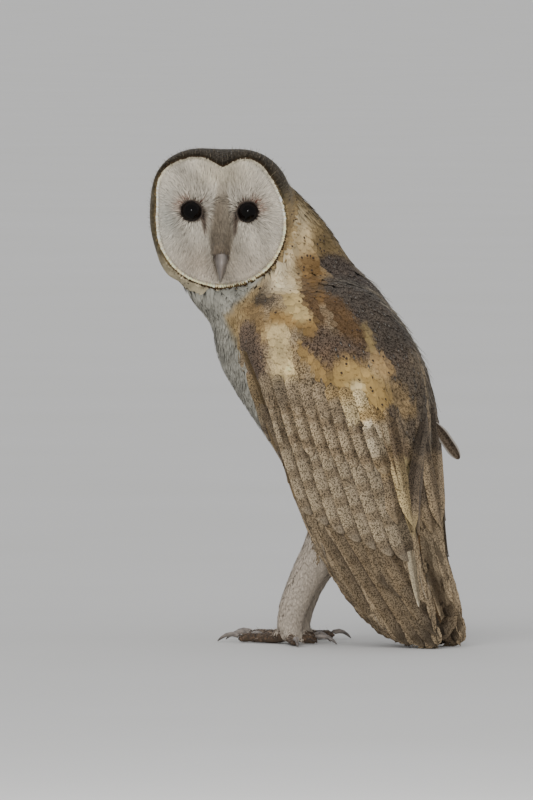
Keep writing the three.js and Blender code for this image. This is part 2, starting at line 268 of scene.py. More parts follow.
def treeOf(points, faces):
    return BVHTree.FromPolygons(points.tolist(), faces.tolist())


def nearest(tree, points):
    places = np.empty((len(points), 3))
    normals = np.empty((len(points), 3))
    index = np.empty(len(points), int)
    for i, p in enumerate(points.tolist()):
        places[i], normals[i], index[i] = tree.find_nearest(p)[:3]
    return places, normals, index


def castFrom(tree, points, direction):
    places = np.full((len(points), 3), np.nan)
    normals = np.tile(-np.asarray(direction, float), (len(points), 1))
    aim = Vector(direction)
    for i, p in enumerate(points.tolist()):
        hit = tree.ray_cast(p, aim)
        if hit[0] is not None:
            places[i], normals[i] = hit[0], hit[1]
    return places, normals


def vertexNormals(points, quads):
    normals = np.zeros_like(points)
    first, second = points[quads[:, 2]] - points[quads[:, 0]], points[quads[:, 3]] - points[quads[:, 1]]
    cross = np.cross(first, second)
    for corner in range(4):
        np.add.at(normals, quads[:, corner], cross)
    return unit(normals)


# the coat's outer surface, and the skin inside it
skin = {
    "voxel": 1.6,
    "relax": 5,
    "closeGap": 0.25,
    "depth": {"head": 2.6, "neck": 3.4, "trunk": 3.6, "tail": 1.0, "wing": 2.2, "leg": 1.6, "foot": 0.5},
    "faceDepth": 0.9,
    "thinShare": 0.3,  # most of a thin place's thickness that the coat may take
    "thinReach": 12,
    "depthRounds": 6,
    "bridge": (0.8, 60),  # share and rounds
    "ruffRounds": 8,
    "hollow": (0.9, 90, 4),  # share, rounds of filling, rounds of smoothing
    "chartRounds": 40,
    "chartGap": 2,
    "mapMargin": 0.004,
}
fleshNodes = [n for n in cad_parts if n.split("_")[0] in skin["depth"]]
coatMesh = remeshed(nodeSolid(fleshNodes, skin["closeGap"]), skin["voxel"], skin["relax"])
coatPoints, coatQuads = meshArrays(coatMesh)
coatQuads = coatQuads.reshape(-1, 4)
coatTree = treeOf(coatPoints, coatQuads)
coatNormals = vertexNormals(coatPoints, coatQuads)
print("coat surface", len(coatQuads), "quads")

nodeTriangles, nodePoints, nodeOfTriangle = [], [], []
for name in fleshNodes:
    co, loops = meshArrays(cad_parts[name].data)
    nodeTriangles.append(loops.reshape(-1, 3) + sum(map(len, nodePoints)))
    nodeOfTriangle += [name] * (len(loops) // 3)
    nodePoints.append(co)
nodeTree = treeOf(np.concatenate(nodePoints), np.concatenate(nodeTriangles))
vertexNode = np.array(nodeOfTriangle)[nearest(nodeTree, coatPoints)[2]]
vertexPart = np.array([n.split("_")[0] for n in vertexNode])


def onFace(points):  # 1 on the facial disc, 0 off it
    across, above, ahead = toFace(points)
    share = np.hypot(across, above) / rimRadius(across, above)
    return (1 - smooth(share, *head["faceEdge"])) * smooth(ahead, 2, 8)


def meanOfRound(values):  # each point's mean over the quads that meet there
    total = np.zeros_like(values)
    mean = values[coatQuads].mean(1)
    for corner in range(4):
        for axis in range(values.shape[1]):
            total[:, axis] += np.bincount(coatQuads[:, corner], mean[:, axis], len(values))
    return total / np.bincount(coatQuads.ravel(), minlength=len(values))[:, None]


def relaxed(points, share, rounds):
    for turn in range(rounds):
        points = points + (meanOfRound(points) - points) * share[:, None]
    return points


depth = np.array([float(skin["depth"][part]) for part in vertexPart])
faceShare = onFace(coatPoints)
depth = depth * (1 - faceShare) + skin["faceDepth"] * faceShare
for i in range(len(coatPoints)):
    start = coatPoints[i] - coatNormals[i] * 0.2
    hit = coatTree.ray_cast(Vector(start), Vector(-coatNormals[i]), skin["thinReach"])
    if hit[0] is not None:
        depth[i] = min(depth[i], skin["thinShare"] * hit[3])
for turn in range(skin["depthRounds"]):  # the depth changes gently from part to part
    depth = np.minimum(depth, meanOfRound(depth[:, None])[:, 0]) * 0.5 + depth * 0.5
skinPoints = coatPoints - coatNormals * depth[:, None]
print("skin", len(skinPoints), "points")

# long plumage bridges the folds between head, neck, shoulder and back
across, above, ahead = toFace(coatPoints)
bridge = smooth(coatPoints[:, 2], 196, 214) * (1 - faceShare)
bridge *= np.where(vertexPart == "head", 1 - smooth(ahead, -14, 4), 1.0)
bridge = np.maximum(bridge, 0.6 * bump(np.hypot(across, above - 15), 0, 9) * (ahead > 0))
coatPoints = relaxed(coatPoints, skin["bridge"][0] * bridge, skin["bridge"][1])
ruffShare = (vertexPart == "head") * (1 - faceShare) * smooth(ahead, -30, -10)
coatPoints = relaxed(coatPoints, ruffShare, skin["ruffRounds"])
# and fills the hollow where the inner feathers of the folded wings meet
u, z = toFlank(coatPoints).T
hollow = skin["hollow"][0] * smooth(u, 58, 68) * smooth(z, 62, 84)
hollow = hollow * (1 - smooth(z, 132, 156)) * (vertexPart != "leg")
filled = relaxed(coatPoints, hollow, skin["hollow"][1])
outward = ((filled - coatPoints) * vertexNormals(coatPoints, coatQuads)).sum(1) > 0
coatPoints = relaxed(np.where(outward[:, None], filled, coatPoints), hollow, skin["hollow"][2])
coatTree = treeOf(coatPoints, coatQuads)
coatNormals = vertexNormals(coatPoints, coatQuads)

# an unwrap of the skin's own shape: each part is cut into charts by the way its surface faces
evened = skinPoints
for turn in range(skin["chartRounds"]):
    evened = meanOfRound(evened)
evenNormals = vertexNormals(evened, coatQuads)[coatQuads].mean(1)
facing = np.abs(evenNormals).argmax(1)
facing = facing * 2 + (evenNormals[np.arange(len(facing)), facing] > 0)
nodeNumber = np.unique(vertexNode, return_inverse=True)[1][coatQuads[:, 0]]
chartOf = nodeNumber * 6 + facing
skinUv = np.zeros((len(coatQuads), 4, 2))
charts = []
for chart in np.unique(chartOf):
    mine = chartOf == chart
    axes = [a for a in range(3) if a != (chart % 6) // 2]
    flat = skinPoints[coatQuads[mine]][..., axes]
    flat -= flat.min((0, 1))
    charts.append((mine, flat, flat.max((0, 1))))
charts.sort(key=lambda c: -c[2][1])
sheetWidth = 1.12 * math.sqrt(sum(c[2][0] * c[2][1] for c in charts))
gap = skin["chartGap"]
left, bottom, shelf = 0, 0, 0
for mine, flat, size in charts:
    if left + size[0] > sheetWidth:
        left, bottom, shelf = 0, bottom + shelf + gap, 0
    skinUv[mine] = flat + (left, bottom)
    left += size[0] + gap
    shelf = max(shelf, size[1])
inside = 1 - 2 * skin["mapMargin"]
skinUv = skin["mapMargin"] + skinUv * inside / max(sheetWidth + gap, bottom + shelf)
skinTree = treeOf(skinPoints, coatQuads)
print("skin unwrapped in", len(charts), "charts")


def uvAt(points):
    places, normals, index = nearest(skinTree, points)
    corners = skinPoints[coatQuads[index]]
    near = 1 / (np.linalg.norm(corners - places[:, None], axis=2) + 0.05)
    near /= near.sum(1, keepdims=True)
    return (skinUv[index] * near[..., None]).sum(1)


# the bird's markings, one function for skin and coat: tone as 0 to 255, then spot, fleck, speckle and bar
tones = {
    "gain": 3.0,
    "power": 1.5,
    "most": 0.86,
    "breast": (134, 132, 125),
    "throat": (136, 135, 128),
    "wingBase": (124, 113, 96),
    "underWing": (150, 144, 130),
    "underLow": (92, 82, 69),
    "mantle": (72, 65, 58),
    "crown": (60, 54, 45),
    "headSide": (88, 82, 68),
    "chin": (150, 143, 126),
    "face": (158, 153, 143),
    "neck": (138, 124, 99),
    "neckLow": (168, 159, 140),
    "neckBehind": (106, 95, 73),
    "leg": (150, 143, 134),
    "toe": (93, 82, 70),
    "tail": (88, 78, 65),
}
# along the flank map: first end, last end, radius, tone, spot, fleck, speckle
patches = {
    "mantleTop": ((15.5, 266.0), (40.7, 224.5), 11.7, (72, 64, 58), 0.0, 0.55, 0.8),
    "mantleMid": ((46.2, 221.7), (62.7, 187.2), 10.3, (80, 71, 62), 0.0, 0.4, 0.8),
    "mantleLow": ((65.5, 184.5), (76.5, 140.3), 9.7, (82, 74, 64), 0.0, 0.4, 0.8),
    "looseEdge": ((40.7, 247.2), (76.5, 187.2), 4.8, (98, 90, 78), 0.0, 0.2, 0.5),
    "neckShade": ((-9.0, 308.6), (8.9, 274.1), 9.0, (104, 92, 70), 0.35, 0.0, 0.2),
    "rufousTop": ((-5.5, 264.0), (5.5, 242.4), 6.2, (108, 90, 64), 0.34, 0.0, 0.1),
    "rufousLow": ((13.1, 238.3), (32.4, 209.3), 7.6, (92, 76, 56), 0.34, 0.0, 0.35),
    "rufousEdge": ((36.5, 221.7), (40.7, 205.9), 3.1, (122, 110, 84), 0.0, 0.0, 0.1),
    "darkStrip": ((-6.2, 247.9), (4.1, 224.5), 4.1, (94, 78, 58), 0.2, 0.0, 0.4),
    "darkCloud": ((3.4, 212.1), (28.2, 201.0), 10.3, (84, 72, 61), 0.1, 0.35, 0.85),
    "darkCloudLow": ((8.9, 201.0), (13.1, 190.0), 5.5, (92, 78, 64), 0.1, 0.2, 0.85),
    "goldMid": ((-24.0, 226.5), (-3.5, 220.3), 6.6, (120, 103, 75), 0.3, 0.0, 0.1),
    "creamWedge": ((-16.6, 245.2), (-9.0, 228.6), 6.9, (150, 136, 106), 0.15, 0.0, 0.0),
    "shoulderGold": ((-40.7, 230.0), (-31.1, 213.4), 6.2, (119, 104, 80), 0.0, 0.0, 0.3),
    "shoulderDark": ((-30.4, 246.6), (-34.5, 236.9), 4.8, (84, 75, 64), 0.0, 0.2, 0.5),
    "wristDark": ((-44.2, 214.8), (-38.0, 191.4), 7.6, (92, 80, 69), 0.0, 0.15, 0.95),
    "wristEdge": ((-55.2, 221.7), (-52.4, 201.0), 3.4, (132, 118, 92), 0.0, 0.0, 0.25),
    "paleStreak": ((-25.5, 214.8), (-19.3, 190.0), 8.3, (160, 147, 119), 0.0, 0.0, 0.15),
    "tanSpeckled": ((-12.4, 205.2), (-6.9, 185.9), 4.8, (124, 111, 90), 0.0, 0.0, 0.9),
    "goldDiagonal": ((-8.3, 207.9), (14.5, 176.2), 4.1, (130, 113, 83), 0.05, 0.0, 0.15),
    "goldSpotted": ((26.9, 184.5), (42.0, 169.3), 15.2, (140, 123, 90), 0.42, 0.0, 0.0),
    "goldPale": ((31.0, 179.0), (28.2, 159.7), 5.5, (166, 154, 126), 0.2, 0.0, 0.0),
    "goldSide": ((45.5, 199.7), (50.3, 190.0), 5.5, (138, 121, 94), 0.2, 0.0, 0.05),
    "goldLow": ((57.2, 179.0), (65.5, 162.4), 5.5, (112, 99, 78), 0.1, 0.0, 0.6),
    "whiteTuft": ((40.0, 152.8), (44.8, 140.3), 5.2, (172, 163, 145), 0.0, 0.0, 0.0),
    "darkNotch": ((54.5, 162.4), (57.9, 151.4), 4.1, (84, 74, 62), 0.0, 0.1, 0.8),
    "tertialGold": ((51.7, 147.2), (48.9, 119.7), 3.4, (130, 116, 92), 0.0, 0.0, 0.5),
    "tertialDark": ((57.9, 145.9), (63.4, 125.2), 5.5, (98, 86, 70), 0.0, 0.0, 0.95),
    "tertialShade": ((71.0, 125.2), (75.1, 96.2), 4.8, (86, 77, 66), 0.0, 0.0, 0.7),
    "buffStrip": ((61.4, 127.9), (67.6, 83.8), 3.1, (142, 131, 105), 0.0, 0.0, 0.25),
    "edgeGold": ((-42.1, 184.5), (-35.2, 147.2), 3.8, (104, 92, 70), 0.0, 0.0, 0.1),
}


def fromLine(places, start, end):  # how far off a stroke, and how far along it from 0 to 1
    start, end = np.array(start), np.array(end)
    line = end - start
    t = np.clip(((places - start) @ line) / (line @ line), 0, 1)
    return np.linalg.norm(places - start - t[:, None] * line, axis=1), t


def patchShare(spot, start, end, radius):
    return 1 - smooth(fromLine(spot, start, end)[0], 0.55 * radius, 1.4 * radius)


def frontEdge(height, top):  # the flank map's line between the white front and the wing
    return np.interp(height, (60, 85, 146, 190, 226, 249, 263), (2, -9, -30, -43, -58, -36, top))


def drift(points, pitch, seed):  # a slow smooth wander between -1 and 1
    turns = np.random.default_rng(seed)
    total = np.zeros(len(points))
    for wave in range(5):
        aim = turns.normal(0, 1, 3)
        turn = points @ aim / np.linalg.norm(aim) * 2 * math.pi / (pitch * (0.6 + 0.25 * wave))
        total += np.sin(turn + turns.uniform(0, 6.3))
    return total / 2.6


def markings(points, normals, parts):
    spot = toFlank(points) + 1.5 * np.stack([drift(points, 26, 1), drift(points, 26, 2)], -1)
    towardsTail, height = spot.T
    across, above, ahead = toFace(points)
    x, y, z = points.T
    count = len(points)
    tone = np.zeros((count, 3))
    marks = np.zeros((count, 4))

    def lay(share, colour, spots=0.0, flecks=0.0, speckles=0.0):
        share = np.asarray(share, float)[:, None]
        colour = tones[colour] if isinstance(colour, str) else colour
        tone[:] = tone * (1 - share) + np.array(colour, float) * share
        marks[:] = marks * (1 - share) + np.array([spots, flecks, speckles, 0.0]) * share

    # wings, back and neck, then the strokes on them
    lay(np.ones(count), "wingBase", 0, 0.05, 0.75)
    lay(parts == "tail", "tail", 0, 0, 0.7)
    lay(parts == "neck", "neck", 0.26, 0, 0.08)
    wide = np.isin(parts, ("wing", "trunk", "neck"))
    for start, end, radius, colour, *kinds in patches.values():
        lay(patchShare(spot, start, end, radius) * wide, colour, *kinds)
    nape = smooth(y, 8, 22) * smooth(-np.abs(x), -26, -16)
    lay(nape * smooth(height, 190, 215) * wide, "mantle", 0, 0.7, 0.8)
    lowNeck = (parts == "neck") * smooth(height, 236, 246) * bump(towardsTail, -22, 12)
    lay(lowNeck, "neckLow", 0.1, 0, 0)
    # the white front, the wings' inner side and the belly
    front = smooth(frontEdge(height, -26) - towardsTail, -2, 5) * np.isin(parts, ("trunk", "neck"))
    turnedAway = smooth(-(normals @ toViewer), -0.2, 0.1) * (z > 215)
    front = front * (1 - turnedAway * (1 - smooth(-normals[:, 1], 0.45, 0.8)))
    lay(front, "breast", 0.12, 0, 0)
    lay(front * smooth(z, 232, 250), "throat", 0.08, 0, 0)
    inner = smooth(-normals[:, 0] * np.sign(x), 0.1, 0.5) * (parts == "wing")
    inner = inner * smooth(-normals[:, 1], -0.9, 0.2)
    lay(inner, "underWing", 0, 0, 0.1)
    lay(inner * smooth(-z, -120, -70), "underLow", 0, 0, 0.35)
    lay((parts == "trunk") * smooth(-normals[:, 1], 0.25, 0.65) * (z < 205), "breast", 0.08, 0, 0)
    belly = smooth(120 - z, 0, 30) * smooth(-normals[:, 1], -0.5, 0.3) * (parts == "trunk")
    lay(belly, "breast", 0.03, 0, 0)
    # the head
    turn = faceTurn(across, above)
    isHead = (parts == "head").astype(float)
    lay(isHead, "headSide", 0.05, 0.05, 0.35)
    lay(isHead * (1 - smooth(turn, 35, 75)), "crown", 0.1, 0.2, 0.55)
    lay(isHead * smooth(turn, 96, 150), "chin", 0.3, 0, 0.1)
    lay(isHead * smooth(across, 25, 45) * smooth(turn, 58, 84), "neck", 0.3, 0, 0.1)
    lay(isHead * (1 - smooth(ahead, -44, -16)) * smooth(above, -30, 0), "crown", 0, 0.3, 0.6)
    behind = smooth(-ahead, -8, 14) * smooth(above, -58, -40) * smooth(across, 10, 30)
    behind = behind * np.isin(parts, ("head", "neck"))
    lay(behind * (1 - smooth(-ahead, 30, 50)), "neckBehind", 0.3, 0, 0.2)
    lay(onFace(points), "face")
    tone[:] = tone * (1 + 0.05 * drift(points, 17, 3) + 0.035 * drift(points, 6, 4))[:, None]
    lay(parts == "leg", "leg")
    lay(parts == "foot", "toe")
    return tone, marks


def albedo(tone):
    share = np.asarray(tone, float) / 255
    linear = np.where(share < 0.04045, share / 12.92, ((share + 0.055) / 1.055) ** 2.4)
    return np.clip(linear ** tones["power"] * tones["gain"], 0, tones["most"])


# vanes: thin closed shells laid along the coat
smallRing = np.array([(-1, 0), (0, 1), (1, 0), (0, -1)], float)
longRing = np.array([(-1, 0), (-0.5, 1), (0, 1.5), (0.5, 1), (1, 0), (0.5, -1), (0, -1), (-0.5, -1)], float)
vanes = {
    "mapPatch": 0.003,  # a vane's place on the map
    "longPatch": 0.012,
    "mostQuads": 95000,  # in one piece
    "tipHeight": 1.4,  # the lowest that a flight feather's line comes
}
coatLayers = ("points", "faces", "tint", "marks", "vane", "uv", "owner")


def newCoat():
    return {**{key: [] for key in coatLayers}, "vanes": 0}


def addVanes(
    coat, spine, normal, half, tone, marks, rootUv,
    ring=smallRing, thick=0.12, camber=0.25, tall=vanes["mapPatch"], roll=None,
):
    count, rows = half.shape
    sides = len(ring)
    along = unit(np.gradient(spine, axis=1))
    side = unit(np.cross(along, normal))
    if roll is not None:  # the leading edge of each vane is the side that lies on top
        side = side * np.sign((side * roll["lead"]).sum((1, 2)))[:, None, None]
    up = unit(np.cross(side, along))
    up = up * np.sign((up * normal).sum(2, keepdims=True))
    across, rise = ring[:, 0], ring[:, 1]
    lift = -camber * half[..., None] * across**2 + thick * rise
    if roll is not None:
        lift = lift + roll["lift"] * across
    points = spine[:, :, None] + side[:, :, None] * (half[..., None] * across)[..., None]
    points = points + up[:, :, None] * lift[..., None]
    faces = tubeFaces(rows, sides)
    sample = points[0].reshape(-1, 3)
    tri = np.concatenate([sample[faces[:, [0, 1, 2]]], sample[faces[:, [0, 2, 3]]]]) - sample.mean(0)
    if (tri[:, 0] * np.cross(tri[:, 1], tri[:, 2])).sum() < 0:
        faces = faces[:, ::-1]
    already = sum(map(len, coat["points"])) + np.arange(count)[:, None, None] * rows * sides
    pace = np.linalg.norm(np.diff(spine, axis=1), axis=2)
    steps = np.concatenate([[0], np.cumsum(pace.mean(0))])
    place = (across, (steps / steps[-1])[:, None], pace.sum(1)[:, None, None] / 100)
    vane = np.stack([np.broadcast_to(v, (count, rows, sides)) for v in place], -1)
    patch = np.stack([vane[..., 0] * vanes["mapPatch"] / 2, (vane[..., 1] - 0.5) * tall], -1)
    made = {
        "owner": np.repeat(coat["vanes"] + np.arange(count), len(faces)),
        "points": points.reshape(-1, 3),
        "faces": (faces[None] + already).reshape(-1, 4),
        "vane": vane.reshape(-1, 3),
        "tint": np.repeat(withAlpha(albedo(tone).reshape(-1, 3)), sides, axis=0),
        "marks": np.repeat(marks.reshape(-1, 4), sides, axis=0),
        "uv": np.clip(patch + rootUv[:, None, None], 0, 1).reshape(-1, 2),
    }
    for key, values in made.items():
        coat[key].append(values)
    coat["ring"] = sides
    coat["vanes"] += count


def finishCoat(coat, name, stands=()):
    data = {key: np.concatenate(coat[key]) for key in coatLayers}
    pieces = math.ceil(len(data["faces"]) / vanes["mostQuads"])
    share = (data["owner"] * pieces) // (data["owner"].max() + 1)
    for number in range(pieces):
        used, local = np.unique(data["faces"][share == number], return_inverse=True)
        attributes = {key: data[key][used] for key in ("tint", "marks", "vane")}
        label = name if pieces == 1 else name + "_" + "abcdefgh"[number]
        local = local.reshape(-1, 4)
        mesh = newMesh(label, data["points"][used], local, attributes, data["uv"][used], coat["ring"])
        addPiece(label, mesh, plumage, stands if number == 0 else ())
    print(name, len(data["faces"]) * 2, "triangles in", pieces)


# where feathers stand and how they lie
quadCorners = coatPoints[coatQuads]
quadCentre = quadCorners.mean(1)
quadCross = np.cross(quadCorners[:, 2] - quadCorners[:, 0], quadCorners[:, 3] - quadCorners[:, 1])
quadArea = np.linalg.norm(quadCross, axis=1) / 2
quadNormal = unit(quadCross)
quadPart = vertexPart[coatQuads[:, 0]]
cellsAround = [(p, q, r) for p in (-1, 0, 1) for q in (-1, 0, 1) for r in (-1, 0, 1)]


def thinned(points, spacing):  # the points that keep clear of all those kept before them
    cells, kept = {}, []
    reach = (0.8 * spacing) ** 2
    for i, (x, y, z) in enumerate(points.tolist()):
        cx, cy, cz = int(x // spacing), int(y // spacing), int(z // spacing)
        around = (n for p, q, r in cellsAround for n in cells.get((cx + p, cy + q, cz + r), ()))
        if all((x - ox) ** 2 + (y - oy) ** 2 + (z - oz) ** 2 >= reach for ox, oy, oz in around):
            cells.setdefault((cx, cy, cz), []).append((x, y, z))
            kept.append(i)
    return kept


def scatter(chosen, spacing):
    chosen = np.flatnonzero(chosen)
    area = quadArea[chosen]
    count = int(area.sum() / spacing**2 * 4)
    pick = rng.choice(chosen, count, p=area / area.sum())
    a, b = rng.random((2, count, 1))
    corners = quadCorners[pick]
    points = (corners[:, 0] * (1 - a) + corners[:, 1] * a) * (1 - b)
    points = points + (corners[:, 3] * (1 - a) + corners[:, 2] * a) * b
    kept = thinned(points, spacing)
    return points[kept], quadNormal[pick[kept]], quadPart[pick[kept]]


lies = {
    "body": (0.0, 0.22, -0.97),
    "leg": (0.0, 0.05, -1.0),
    "breast": (0.0, 0.12, -0.99),
    "back": (0.0, 0.33, -0.94),
}


def lieOfCoat(points, normals, parts):
    across, above, ahead = toFace(points)
    outward = faceAcross * (across / 45)[:, None] + faceUp * (above / 45)[:, None]
    downward = smooth(-ahead, -6, 34)[:, None]
    headFlow = (0.35 * outward - faceOut) * (1 - downward) - upward * downward
    flow = np.where((parts == "head")[:, None], headFlow, np.array(lies["body"]))
    back = np.isin(parts, ("trunk", "wing", "neck")) & (toFlank(points)[:, 0] > 10)
    breast = (parts == "trunk") & (points[:, 1] < 0)
    for kind, here in (("leg", parts == "leg"), ("breast", breast), ("back", back)):
        flow = np.where(here[:, None], np.array(lies[kind]), flow)
    return unit(flow - normals * (flow * normals).sum(1, keepdims=True))


def turned(aim, normals, degrees):
    angle = np.radians(degrees)[:, None]
    return aim * np.cos(angle) + np.cross(normals, aim) * np.sin(angle)


def laid(points, aim, length, rows, sink, rise, step):  # flush with the coat but at the root
    straight = points[:, None] + aim[:, None] * (length[:, None] * rows)[..., None]
    places, normals, index = nearest(coatTree, straight.reshape(-1, 3))
    normals = normals.reshape(straight.shape)
    normals[:, 1:] = unit(normals[:, 1:] + normals[:, :-1])
    lift = rise * rows - step * (1 - rows) - (sink - step) * (1 - rows) ** 6
    return places.reshape(straight.shape) + normals * lift[:, None], normals


print("markings and vanes ready")


# materials
def feed(tree, source, socket):  # a plain value is set, and anything else is wired
    if isinstance(source, (int, float, tuple, str)):
        socket.default_value = source
    else:
        tree.links.new(source, socket)


def addNode(tree, kind, sockets=None, **settings):
    node = tree.nodes.new(kind)
    for key, value in settings.items():
        setattr(node, key, value)
    for label, value in (sockets or {}).items():
        feed(tree, value, node.inputs[label])
    return node


def maths(tree, operation, *values):
    node = addNode(tree, "ShaderNodeMath", operation=operation)
    for socket, value in zip(node.inputs, values):
        feed(tree, value, socket)
    return node.outputs[0]


def times(tree, first, second):
    return maths(tree, "MULTIPLY", first, second)


def opposite(tree, value):
    return maths(tree, "SUBTRACT", 1, value)


def stepped(tree, value, low, high):  # 0 at low, 1 at high, smooth between
    sockets = {"Value": value, "From Min": low, "From Max": high}
    return addNode(tree, "ShaderNodeMapRange", sockets, interpolation_type="SMOOTHSTEP").outputs["Result"]


def blended(tree, share, first, second, mode="MIX"):
    node = addNode(tree, "ShaderNodeMix", data_type="RGBA", blend_type=mode)
    colour = [s for s in node.inputs if s.type == "RGBA"]
    for socket, value in ((node.inputs[0], share), (colour[0], first), (colour[1], second)):
        feed(tree, value, socket)
    return [s for s in node.outputs if s.type == "RGBA"][0]


def toned(tree, ground, factor):
    return blended(tree, 1.0, ground, factor, "MULTIPLY")


def attribute(tree, name, output):
    return addNode(tree, "ShaderNodeAttribute", attribute_name=name).outputs[output]


def texture(tree, kind, **values):
    place = addNode(tree, "ShaderNodeTexCoord").outputs["Object"]
    return addNode(tree, "ShaderNodeTex" + kind, {"Vector": place, **values}).outputs


def addRelief(tree, surface, height, strength, distance, invert=False):
    sockets = {"Height": height, "Strength": strength, "Distance": distance}
    feed(tree, addNode(tree, "ShaderNodeBump", sockets, invert=invert).outputs["Normal"], surface["Normal"])


def newGroup(name, inputs, outputs):
    tree = bpy.data.node_groups.new(name, "ShaderNodeTree")
    for label, value in inputs.items():
        kind = "NodeSocketColor" if isinstance(value, tuple) else "NodeSocketFloat"
        tree.interface.new_socket(name=label, in_out="INPUT", socket_type=kind).default_value = value
    for label, kind in outputs.items():
        tree.interface.new_socket(name=label, in_out="OUTPUT", socket_type=kind)
    return tree, addNode(tree, "NodeGroupInput").outputs, addNode(tree, "NodeGroupOutput").inputs


def useGroup(tree, group, **values):
    return addNode(tree, "ShaderNodeGroup", values, node_tree=group).outputs


def newMaterial(name, roughness, **fixed):
    material = bpy.data.materials.new(name)
    material.use_nodes = True
    tree = material.node_tree
    surface = tree.nodes["Principled BSDF"].inputs
    for key, value in {"Roughness": roughness, **fixed}.items():
        surface[key.replace("_", " ")].default_value = value
    return material, tree, surface


# fine dark and pale wriggles over a ground colour
speckle, into, out = newGroup(
    "speckle",
    {"Ground": (0.5, 0.5, 0.5, 1), "Amount": 1, "Scale": 620},
    {"Colour": "NodeSocketColor", "Grain": "NodeSocketFloat"},
)
grain = texture(speckle, "Noise", Scale=into["Scale"], Detail=2.5, Roughness=0.6, Distortion=0.6)["Fac"]
darker = toned(speckle, into["Ground"], (0.28, 0.27, 0.265, 1))
paler = toned(speckle, into["Ground"], (1.45, 1.44, 1.42, 1))
paler = blended(speckle, 0.07, paler, (0.6, 0.56, 0.5, 1))
both = blended(speckle, stepped(speckle, grain, 0.43, 0.53), darker, paler)
feed(speckle, blended(speckle, into["Amount"], into["Ground"], both), out["Colour"])
feed(speckle, grain, out["Grain"])

# broad soft unevenness of a grown surface
mottle, into, out = newGroup(
    "mottle",
    {"Ground": (0.5, 0.5, 0.5, 1), "Shade": (0.3, 0.3, 0.3, 1), "Scale": 200, "Low": 0.4, "High": 0.65},
    {"Colour": "NodeSocketColor", "Height": "NodeSocketFloat"},
)
clouds = texture(mottle, "Noise", Scale=into["Scale"], Detail=4)["Fac"]
sockets = {"Value": clouds, "From Min": into["Low"], "From Max": into["High"]}
ranged = addNode(mottle, "ShaderNodeMapRange", sockets).outputs["Result"]
feed(mottle, blended(mottle, ranged, into["Ground"], into["Shade"]), out["Colour"])
feed(mottle, clouds, out["Height"])

# feathers: ground tone and marks come with each vane, as does its place across, along and its length
feather = {
    "long": (22, 34),  # a vane's length at which the marks of short feathers end and those of long ones begin
    "speckleScale": 1050.0,
    "barPitch": 21,
    "barTone": (0.42, 0.37, 0.33, 1),
    "spot": (2.1, 1.15, 0.38, 0.75, 1.15),  # middle from the tip, half height, half width, edge
    "spotTone": (0.045, 0.03, 0.022, 1),
    "ring": (2.4, 2.2, 0.26, 0.5, 1.3),
    "ringTone": (0.03, 0.025, 0.022, 1),
    "drop": (2.0, 1.0, 0.07, 0.6, 1.3),
    "dropTone": (0.36, 0.335, 0.29, 1),
    "barbPitch": 0.9,
    "barbSlant": 2.5,
    "barbTone": (0.90, 0.895, 0.89, 1),
    "shaftTone": (0.16, 0.12, 0.09, 1),
    # paler leading edge: partly the outer web's own colour, partly painted light on the raised edge
    "leadPaleAndLitTone": (1.35, 1.32, 1.25, 1),
    # painted shadow tone, where the next vane lies over
    "overlapShadowTone": (0.4, 0.38, 0.36, 1),
    "fringeTone": (0.34, 0.31, 0.27, 1),
}
plumage, tree, surface = newMaterial(
    "plumage", 0.82, Sheen_Weight=0.05, Sheen_Roughness=0.45, Specular_IOR_Level=0.15
)
marksNode = addNode(tree, "ShaderNodeAttribute", attribute_name="marks").outputs
markPart = addNode(tree, "ShaderNodeSeparateColor", {"Color": marksNode["Color"]}).outputs
spotShare, fleckShare, speckleShare = markPart[0], markPart[1], markPart[2]
vanePart = addNode(tree, "ShaderNodeSeparateXYZ", {"Vector": attribute(tree, "vane", "Vector")}).outputs
vaneAcross = maths(tree, "ABSOLUTE", vanePart["X"])
vaneLength = times(tree, vanePart["Z"], 100)
fromTip = times(tree, opposite(tree, vanePart["Y"]), vaneLength)


def tipMark(middle, tall, wide, low, high):  # 1 inside a mark near the tip, 0 outside it
    up = maths(tree, "DIVIDE", maths(tree, "SUBTRACT", fromTip, middle), tall)
    out = maths(tree, "DIVIDE", vaneAcross, wide)
    far = maths(tree, "SQRT", maths(tree, "ADD", times(tree, up, up), times(tree, out, out)))
    return opposite(tree, stepped(tree, far, low, high))


longShare = stepped(tree, vaneLength, *feather["long"])
shortFleck = times(tree, fleckShare, opposite(tree, longShare))
ground = {"Ground": attribute(tree, "tint", "Color"), "Amount": speckleShare}
speckled = useGroup(tree, speckle, Scale=feather["speckleScale"], **ground)
colour = speckled["Colour"]
barWave = maths(tree, "SINE", maths(tree, "MULTIPLY_ADD", fromTip, 2 * math.pi / feather["barPitch"], -1.2))
barWobble = maths(tree, "MULTIPLY_ADD", speckled["Grain"], 1.6, -0.8)
barMask = times(tree, stepped(tree, maths(tree, "ADD", barWave, barWobble), 0.45, 0.85), marksNode["Alpha"])
colour = blended(tree, barMask, colour, toned(tree, colour, feather["barTone"]))
for kind, share in (("spot", spotShare), ("ring", shortFleck), ("drop", shortFleck)):
    colour = blended(tree, times(tree, tipMark(*feather[kind]), share), colour, feather[kind + "Tone"])
barbPlace = maths(tree, "MULTIPLY_ADD", vaneAcross, feather["barbSlant"], fromTip)
barbWave = maths(tree, "SINE", times(tree, barbPlace, 2 * math.pi / feather["barbPitch"]))
barbs = maths(tree, "MULTIPLY_ADD", barbWave, 0.25, texture(tree, "Noise", Scale=900, Detail=1)["Fac"])
colour = blended(tree, stepped(tree, barbs, 0.2, 0.85), toned(tree, colour, feather["barbTone"]), colour)
shaftMask = times(tree, opposite(tree, stepped(tree, vaneAcross, 0.02, 0.09)), longShare)
colour = blended(tree, times(tree, shaftMask, 0.3), colour, feather["shaftTone"])
